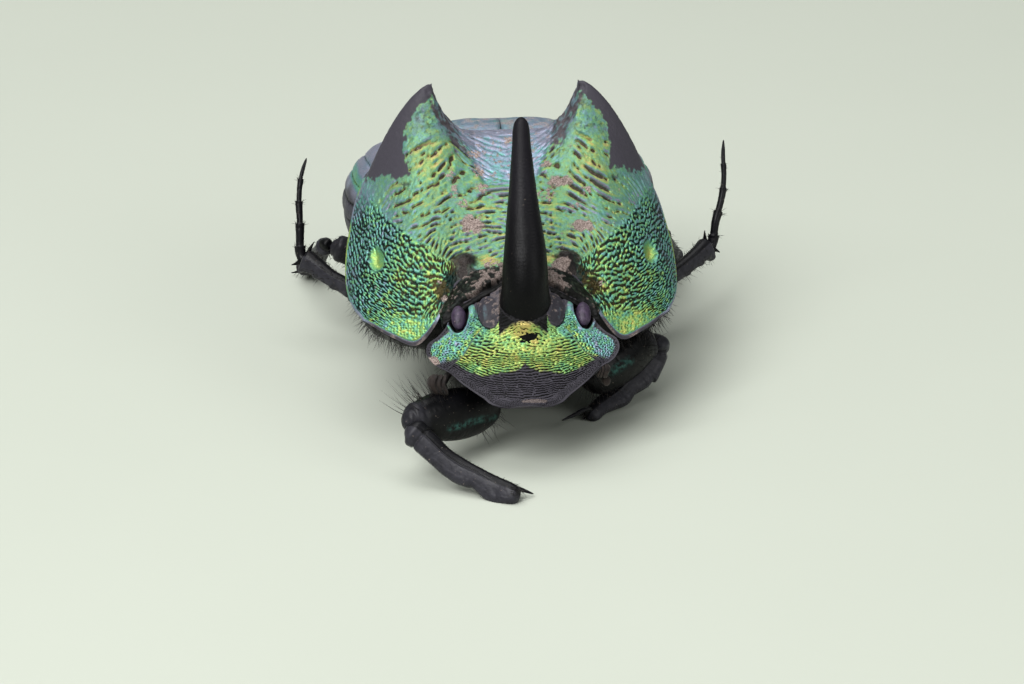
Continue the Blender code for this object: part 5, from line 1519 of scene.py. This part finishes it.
    # Black flecks of painted shade on the shaded edges.
    edge_shade_flecks = 0.25 * shaded_brink * smooth(0.0, 0.5, noise(top, 0.3, 60))
    black = np.maximum.reduce([black, wedge, seam_darkening, edge_dark, edge_shade_flecks])
    dust = np.maximum(dust, 0.6 * brown * (black > 0.3))
    dust = np.maximum(dust, 0.8 * near((502, 268), 18, 9) * smooth(-0.1, 0.3, noise(top, 0.09, 47, 2)))
    film = middle * (1 - valley)
    black = np.maximum(black, film * (0.22 + 0.12 * noise(top, 0.3, 50, 2) + 0.10 * high))
    dust = np.maximum(dust, film * np.clip(0.09 + 0.12 * noise(top, 0.35, 49, 2), 0, 1))
    low = pronotum_grid(*PRONOTUM_LOW_POINTS)
    v, c = (np.linspace(start, 1, count) for start, count in zip((0, -1), low.shape))
    v, c = v[:, None], c[None, :]
    inset = smooth(0.0, 0.12, np.minimum(np.minimum(v, 1 - v), 1 - np.abs(c)))
    low = lifted(low, upward(grid_normals(low)), -0.03 - 0.30 * inset)
    add_shield("pronotum_shield", "pronotum", metal_paint("pronotum_metal", (0.036, 0.028, 0.010)),
               points, low, 0.2, relief=relief, hue=hue, black=black, dust=dust)


# Horn and feelers.

def add_horn():
    """The horn, finely wrinkled across, with the field that paints a grey sheen on its tip."""
    stations = [(x, y, z, wide, wide, deep) for x, y, z, wide, deep in HORN_STATIONS]
    points = limb_grid(stations, (1.0, 0.0, 0.0), 240, 120, ends=(0.2, 1.15))[0]
    normals = outward(points)
    height = points[..., 2]
    folds = ripples(height, points[..., 0] * 0.35 + 0.05 * noise(points, 0.5, 201), 0.085, 16, 203)
    small = 0.0035 * folds * smooth(9.6, 8.5, height) + 0.012 * noise(points, 0.6, 205, 2)
    # The tip field paints a grey sheen towards the tip.
    add_closed("horn_skin", ["horn"], horn_paint(), "black_cuticle", lifted(points, normals, small),
               tip=smooth(5.2, 9.2, height) ** 1.3)


# Middle and size of each feeler's club, and its plates: place across it, half height and half thickness.
CLUBS = {"left": ((2.47, 1.32, 2.86), 0.66), "right": ((-2.70, 1.10, 2.60), 1.0)}
CLUB_PLATES = ((0.150, 0.385, 0.125), (-0.045, 0.37, 0.080), (-0.195, 0.34, 0.070))


def add_antenna(word, sign, coat, material):
    """A stalk and a club of three curved plates."""
    skin = Skin()
    stalk = [(x * sign, y, z, a * 0.45, b * 0.45, c * 0.45) for x, y, z, a, b, c in ANTENNA_STALK]
    points = limb_grid(stalk, (0.0, 0.0, 1.0), 50, 24)[0]
    add_tube(skin, points)
    middle, size = CLUBS[word]
    polar, angle = polar_grid(40, 60)
    for k, (offset, tall, thick) in enumerate(CLUB_PLATES):
        reach = np.sin(polar) ** 0.5
        rise, along = tall * reach * np.cos(angle), 0.30 * reach * np.sin(angle)
        x = offset + thick * np.sign(np.cos(polar)) * np.abs(np.cos(polar)) ** 0.6
        x = x - 0.75 * rise**2 - 0.5 * along**2 + 0.05 * np.sin(rise * 9)
        plate = np.stack([sign * (x + 0.03), along, rise], axis=-1) * size + middle
        plate = plate + 0.006 * noise(plate, 0.05, 211 + k, 2)[..., None]
        add_tube(skin, plate)
        coat.grow(plate, outward(plate), 160, (0.02, 0.98), (0, 1), (0.03, 0.05), thick=0.004, spread=0.5)
    skin.build("antenna_club_" + word, material, "feeler", "antenna_" + word)


def add_mouth(coat, material):
    """The mouth below the head, a lumpy body covered with hairs."""
    points = limb_grid(MOUTHPARTS, (0.0, 0.0, 1.0), 70, 60)[0]
    points = lifted(points, outward(points), 0.03 * noise(points, 0.2, 221, 3))
    add_closed("mouth_parts", ["mouthparts"], material, "feeler", points)
    coat.grow(points, outward(points), 420, (0.0, 1.0), (0, 1), (0.12, 0.34), lean=(0, -0.5, -0.3))


# Trunk.

def add_prothorax(material, coat):
    """The body under the pronotum, with its hairs below."""
    rings = []
    for y in np.linspace(PROTHORAX[0][0] + 0.1, PROTHORAX[-1][0], 110):
        half, level, belly = spline(PROTHORAX, y)[0]
        angle = np.linspace(0, 2 * math.pi, 220, endpoint=False)
        c, s = np.cos(angle), np.sin(angle)
        x = half * np.sign(c) * np.abs(c) ** 0.7
        z = level + np.where(s > 0, 0.35, level - belly) * np.sign(s) * np.abs(s) ** 0.85
        rings.append(np.stack([x, np.full_like(x, y), z], axis=1))
    points = np.array(rings)
    normals = outward(points)
    pits = smooth(0.25, 0.6, noise(points, 0.12, 231))
    points = lifted(points, normals, 0.03 * noise(points, 0.5, 233, 3) - 0.03 * pits)
    add_closed("prothorax_skin", ["prothorax"], material, "black_cuticle", points, green=0.0)
    coat.grow(points, normals, 1500, (0.0, 0.9), (0.5, 1.0), (0.20, 0.50), lean=(0, -0.3, -0.2),
              spread=0.35)


# Distance from the middle, the place along the head where the neck ends there, and its height.
NECK_ENDS = ((0.0, 4.1), (0.9, 4.05), (1.55, 3.72), (2.0, 3.48), (2.3, 3.25), (2.45, 3.15))
NECK_HEIGHTS = ((0.0, 0.22), (1.5, 0.14), (2.2, -0.08), (2.45, -0.2))
# Where the gap behind the head shows; the neck is painted near black there as its shade.
NECK_LINE = ((446, 318), (452, 310), (462, 302), (474, 295), (486, 288), (500, 281), (530, 276))


def add_neck(material):
    """The skin between the head and the pronotum, with crumbs of soil packed behind the gap, painted near
    black as the shade in the gap.
    """
    x = np.linspace(-2.45, 2.45, 260)
    back = spline(PRONOTUM_FRONT, np.abs(x))
    angle = np.linspace(0, 2 * math.pi, 140, endpoint=False)
    rings = []
    for place, (y, z) in zip(x, back):
        behind = np.array((y + 0.30, z - 0.10))
        side = abs(place)
        before = head_place(along_edge(NECK_ENDS, side), place, along_edge(NECK_HEIGHTS, side))[1:]
        middle, reach = (behind + before) / 2 - (0.0, 0.06), (behind - before) / 2
        long_way = np.linalg.norm(reach) + 0.08
        way = unit(reach)
        across = np.array((-way[1], way[0]))
        ring = middle + long_way * np.cos(angle)[:, None] * way + 0.20 * np.sin(angle)[:, None] * across
        rings.append(np.stack([np.full(len(angle), place), ring[:, 0], ring[:, 1]], axis=1))
    points = np.array(rings)
    normals = outward(points)
    place = seen(points)
    px, line = place[..., 0], np.array(NECK_LINE, float)
    above = from_line(place, NECK_LINE) * np.sign(np.interp(px, *line.T) - place[..., 1])
    skirt = smooth(0.0, 3.0, above + 2 * noise(points, 0.2, 246, 2))
    soil = skirt * smooth(0.10, 0.22, noise(points, 0.16, 247, 4) + 0.50 * smooth(464, 484, px) - 0.24)
    crumbs = 0.03 * noise(points, 0.16, 241, 3) + soil * (0.03 + 0.04 * noise(points, 0.05, 243, 2))
    crumbs = crumbs + 0.06 * skirt - 0.10 * bump(above, 2.5) + 0.04 * bump(above + 6, 4)
    points = lifted(points, normals, crumbs)
    # Painted shade: the neck is near black, a little less above the gap's line, where the soil lies.
    add_closed("neck_soil_and_shade", [], material, "black_cuticle", points, dust=0.62 * soil, black=1 - 0.15 * skirt,
               relief=0.10 + 0.2 * noise(points, 0.10, 249, 2) * skirt,
               hue=0.62 + 0.2 * noise(points, 0.3, 251, 2))


# Places where the trunk's skins start, meet and end.
TRUNK_START, ABDOMEN_START, TRUNK_END = 9.75, 14.1, 17.74


def trunk_point(y, angle, inset):
    """Point of the trunk's outline at y, inset under its skin. The angle is 0 at the side, 90 at the top."""
    half, roof, level, belly = spline(TRUNK, y).T
    c, s = np.cos(np.radians(angle)), np.sin(np.radians(angle))
    x = (half - inset) * np.sign(c) * np.abs(c) ** 0.72
    reach = np.where(s > 0, roof - level - inset, level - belly - inset)
    return np.stack([x, np.broadcast_to(y, x.shape), level + reach * s], axis=-1)


def add_trunk(name, node, first, last, material, coat, hairs, seed):
    """A length of the trunk under the wing cases, from first to last, with its hairs."""
    y = np.linspace(first, last, 110)
    held = np.clip(y, TRUNK[0][0], TRUNK[-1][0])
    rings = []
    for angle in np.linspace(-180, 180, 240, endpoint=False):
        rise = angle if abs(angle) <= 90 else math.copysign(180, angle) - angle
        inset = 0.6 * smooth(-32, -20, rise)
        ring = trunk_point(held, np.full(len(y), angle), inset)
        ring[:, 1] = y
        rings.append(ring)
    points = np.array(rings).transpose(1, 0, 2)
    normals = outward(points)
    bands = 0.0
    if node == "abdomen":
        bands = 0.10 * np.abs(np.sin(math.pi * (points[..., 1] - ABDOMEN_START) / 0.62)) ** 0.3
    pits = smooth(0.3, 0.6, noise(points, 0.12, seed))
    small = bands + 0.02 * noise(points, 0.5, seed + 1, 3) - 0.025 * pits - 0.05
    points = lifted(points, normals, small)
    add_closed(name, [node], material, "black_cuticle", points, green=0.0)
    for sides in ((0.08, 0.48), (0.02, 0.16), (0.34, 0.48)):
        coat.grow(points, normals, hairs // 3, (0.0, 1.0), sides, (0.15, 0.40), lean=(0, 0.3, -0.1),
                  spread=0.35)


# Of a wing case: rows, columns above and below, first and last angle, thickness and bands between grooves.
CASE_ROWS, CASE_COLUMNS, CASE_UNDER = 210, 190, 24
CASE_FIRST, CASE_TOP, CASE_THICK, CASE_BANDS = -18.0, 90.0, 0.45, 8.0


def add_elytron(word, side, material):
    """A wing case with seven grooves that follow its outline."""
    upper = (0.0, CASE_COLUMNS, CASE_FIRST, CASE_TOP)
    under = (CASE_THICK, CASE_UNDER, CASE_TOP, CASE_FIRST)
    rings = []
    for inset, count, start_angle, end_angle in (upper, under):
        for angle in np.linspace(start_angle, end_angle, count):
            x = trunk_point(np.array([11.0]), np.array([angle]), inset)[0, 0]
            start = spline(PRONOTUM_BACK, min(abs(x), PRONOTUM_BACK[-1][0]))[0, 0] + 0.05
            y = np.linspace(start, TRUNK[-1][0], CASE_ROWS)
            ring = trunk_point(y, np.full(CASE_ROWS, angle), inset)
            ring[:, 0] = side * np.maximum(ring[:, 0], 0.02)
            rings.append(ring)
    points = np.array(rings).transpose(1, 0, 2)
    normals = outward(points)
    share = np.concatenate([np.linspace(0, 1, CASE_COLUMNS), np.full(CASE_UNDER, -1.0)])[None, :]
    along = np.linspace(0, 1, CASE_ROWS)[:, None]
    lane = (share * CASE_BANDS + 0.5 + 0.06 * noise(points, 0.8, 251)) % 1.0
    body = smooth(0.02, 0.06, along) * smooth(0.995, 0.96, along) * (share >= 0)
    body = body * smooth(0.02, 0.05, share) * smooth(1.0, 0.97, share)
    groove = bump(lane - 0.5, 0.13) * body
    beads = 0.5 + 0.5 * np.cos(points[..., 1] * 2 * math.pi / 0.17 + 9 * np.floor(share * CASE_BANDS + 0.5))
    crown = 0.5 + 0.5 * np.cos(lane * 2 * math.pi)
    dots = smooth(0.35, 0.7, noise(points, 0.07, 253)) * (share >= 0)
    rim = smooth(0.06, 0.02, share) * (share >= 0)
    small = (-0.035 * groove * (0.7 + 0.5 * beads) + 0.03 * crown * body
             + 0.02 * noise(points, 0.5, 255, 3) * body - 0.008 * dots * body + 0.03 * rim)
    points = lifted(points, normals, small)
    points[..., 0] = side * np.maximum(side * points[..., 0], 0.012)
    sheen = smooth(0.06, 0.02, np.abs(share - 0.37 - 0.10 * along))
    hue = 0.05 + 0.10 * noise(points, 0.9, 257, 3) + 0.40 * sheen
    hue = hue - 0.06 + 0.16 * smooth(0.55, 0.9, share) + 0.12 * groove
    black = smooth(0.38, 0.27, share + 0.04 * noise(points, 0.6, 259, 2)) * 0.93
    # Painted shade in the grooves and dots; the black part is darker in its own colour.
    relief = (1 - 0.85 * groove * (0.6 + 0.4 * beads) - 0.3 * dots) * (1 - 0.6 * black)
    grit = noise(points, 0.33, 265, 4) + 0.7 * noise(points, 0.11, 267, 2) - 0.5 * noise(points, 0.8, 269, 2)
    dust = 0.75 * smooth(-0.25, 0.55, grit) * smooth(0.45, 0.7, share) * smooth(0.5, 0.15, along)
    add_closed("elytron_case_" + word, ["elytron_" + word], material, "wing_case", points,
               relief=relief, hue=hue, black=black, dust=dust)


# Place and height of the shield at the rear end, its half width, half height and depth.
REAR_Y, REAR_Z = 17.60, 3.50
REAR_WIDE, REAR_TALL, REAR_DEEP = 2.15, 0.85, 0.42


def add_pygidium(material):
    """The domed shield at the rear end, made of rings that close to a point."""
    rings = []
    angle = np.linspace(0, 2 * math.pi, 200, endpoint=False)
    for turn in np.linspace(0.0, 1.0, 60) * math.pi * 0.93 - 0.35:
        closed = turn > math.pi / 2
        spread = 0.03 if closed else max(0.03, math.cos(turn) ** 0.8)
        x = REAR_WIDE * spread * np.cos(angle)
        z = REAR_Z + REAR_TALL * spread * np.sin(angle)
        y = REAR_Y + REAR_DEEP * max(0.0, math.sin(turn)) - 0.10 * (z - REAR_Z)
        rings.append(np.stack([x, y, z], axis=1))
        if closed:
            break
    points = np.array(rings)
    pits = smooth(0.3, 0.62, noise(points, 0.10, 261))
    points = lifted(points, outward(points), -0.025 * pits)
    # Painted shade in the pits.
    add_closed("pygidium_shield", ["pygidium"], material, "green_cuticle", points, relief=1 - 0.8 * pits,
               hue=0.42 + 0.2 * noise(points, 0.7, 263, 2), black=0.0, dust=0.0)


# Floor, lights and camera.

def add_camera():
    """The camera, placed and turned as fitted."""
    lens = bpy.data.cameras.new("camera")
    lens.lens, lens.sensor_width, lens.sensor_fit = LENS, SENSOR, "HORIZONTAL"
    lens.clip_start, lens.clip_end = 0.001, 10.0
    camera = bpy.data.objects.new("camera", lens)
    turn = np.stack(camera_axes(), axis=1)
    place = (np.array(CAMERA_PLACE) - CENTRE) * MM
    camera.matrix_world = Matrix([[*turn[k], place[k]] for k in range(3)] + [[0, 0, 0, 1]])
    bpy.context.scene.collection.objects.link(camera)
    bpy.context.scene.camera = camera


# Square lights in metres and watts: name, place, width and power; and the place they all point at.
LIGHTS = (
    ("key", (-0.09, -0.12, 0.16), 0.12, 0.46), ("top", (-0.03, 0.03, 0.22), 0.20, 0.36),
    ("fill", (0.15, -0.13, 0.10), 0.12, 0.12),
)
LIGHT_AIM = (0.0, -0.002, 0.005)
FLOOR_REACH = 1.5


def add_light(name, place, width, power):
    """A square light that points at the animal."""
    lamp = bpy.data.lights.new(name, "AREA")
    lamp.shape, lamp.size, lamp.energy = "SQUARE", width, power
    light = bpy.data.objects.new(name, lamp)
    back = unit(np.array(place) - np.array(LIGHT_AIM))
    right = unit(np.cross((0.0, 0.0, 1.0), back))
    up = np.cross(back, right)
    light.matrix_world = Matrix([[right[k], up[k], back[k], place[k]] for k in range(3)] + [[0, 0, 0, 1]])
    bpy.context.scene.collection.objects.link(light)


def add_floor():
    """A plain pale floor, which only the picture shows."""
    mesh = bpy.data.meshes.new("floor")
    corners = ((-1, -1), (1, -1), (1, 1), (-1, 1))
    mesh.from_pydata([(x * FLOOR_REACH, y * FLOOR_REACH, 0) for x, y in corners], [], [(0, 1, 2, 3)])
    paint = Paint("floor_paint")
    colour = paint.mix(paint.noise(0.05, 3.0), (0.47, 0.50, 0.43), (0.50, 0.53, 0.46))
    mesh.materials.append(paint.finish(Base_Color=colour, Roughness=0.8))
    floor = bpy.data.objects.new("floor", mesh)
    bpy.context.scene.collection.objects.link(floor)


def add_world():
    """Dim even light from all sides."""
    world = bpy.data.worlds.new("studio")
    bpy.context.scene.world = world
    world.use_nodes = True
    background = world.node_tree.nodes["Background"]
    background.inputs["Color"].default_value = (0.80, 0.85, 0.82, 1.0)
    background.inputs["Strength"].default_value = 0.22


bpy.context.scene.view_settings.view_transform = "Standard"
add_camera()
add_world()
add_floor()
for row in LIGHTS:
    add_light(*row)

black, down = black_paint(), feeler_paint()
coats = {name: Coat(seed) for seed, name in enumerate(("fore", "rear", "body", "mouth"), 300)}
add_head()
for word, sign in SIDES:
    add_eye(word, sign)
    add_antenna(word, sign, coats["mouth"], down)
add_mouth(coats["mouth"], down)
add_horn()
add_pronotum()
add_prothorax(black, coats["body"])
add_neck(metal_paint("neck_metal"))
add_trunk("pterothorax_skin", "pterothorax", TRUNK_START, ABDOMEN_START, black, coats["body"], 900, 271)
add_trunk("abdomen_skin", "abdomen", ABDOMEN_START, TRUNK_END, black, coats["body"], 600, 281)
metal = metal_paint("wing_metal")
for word, sign in SIDES:
    add_elytron(word, sign, metal)
add_pygidium(metal)
add_leg("leg_fore_right", FORE_RIGHT, black, coats["fore"], (), FORE_TEETH, 401)
add_leg("leg_fore_left", FORE_LEFT, black, coats["fore"], (), FORE_LEFT_TEETH, 411, keel_at=-0.20)
add_leg("leg_mid_right", MID_RIGHT, black, coats["rear"], MID_RIGHT_SPINES, REAR_TEETH, 421)
add_leg("leg_mid_left", MID_LEFT, black, coats["rear"], MID_LEFT_SPINES, REAR_TEETH, 431)
for word, sign in SIDES:
    spines = [(mirrored(start, sign), mirrored(end, sign), *rest) for start, end, *rest in HIND_SPINES]
    add_leg("leg_hind_" + word, mirrored_pieces(HIND, word, sign), black, coats["rear"], spines,
            REAR_TEETH, 441)
hair = hair_paint()
for name, coat in coats.items():
    coat.build("hairs_" + name, hair, "black_cuticle")
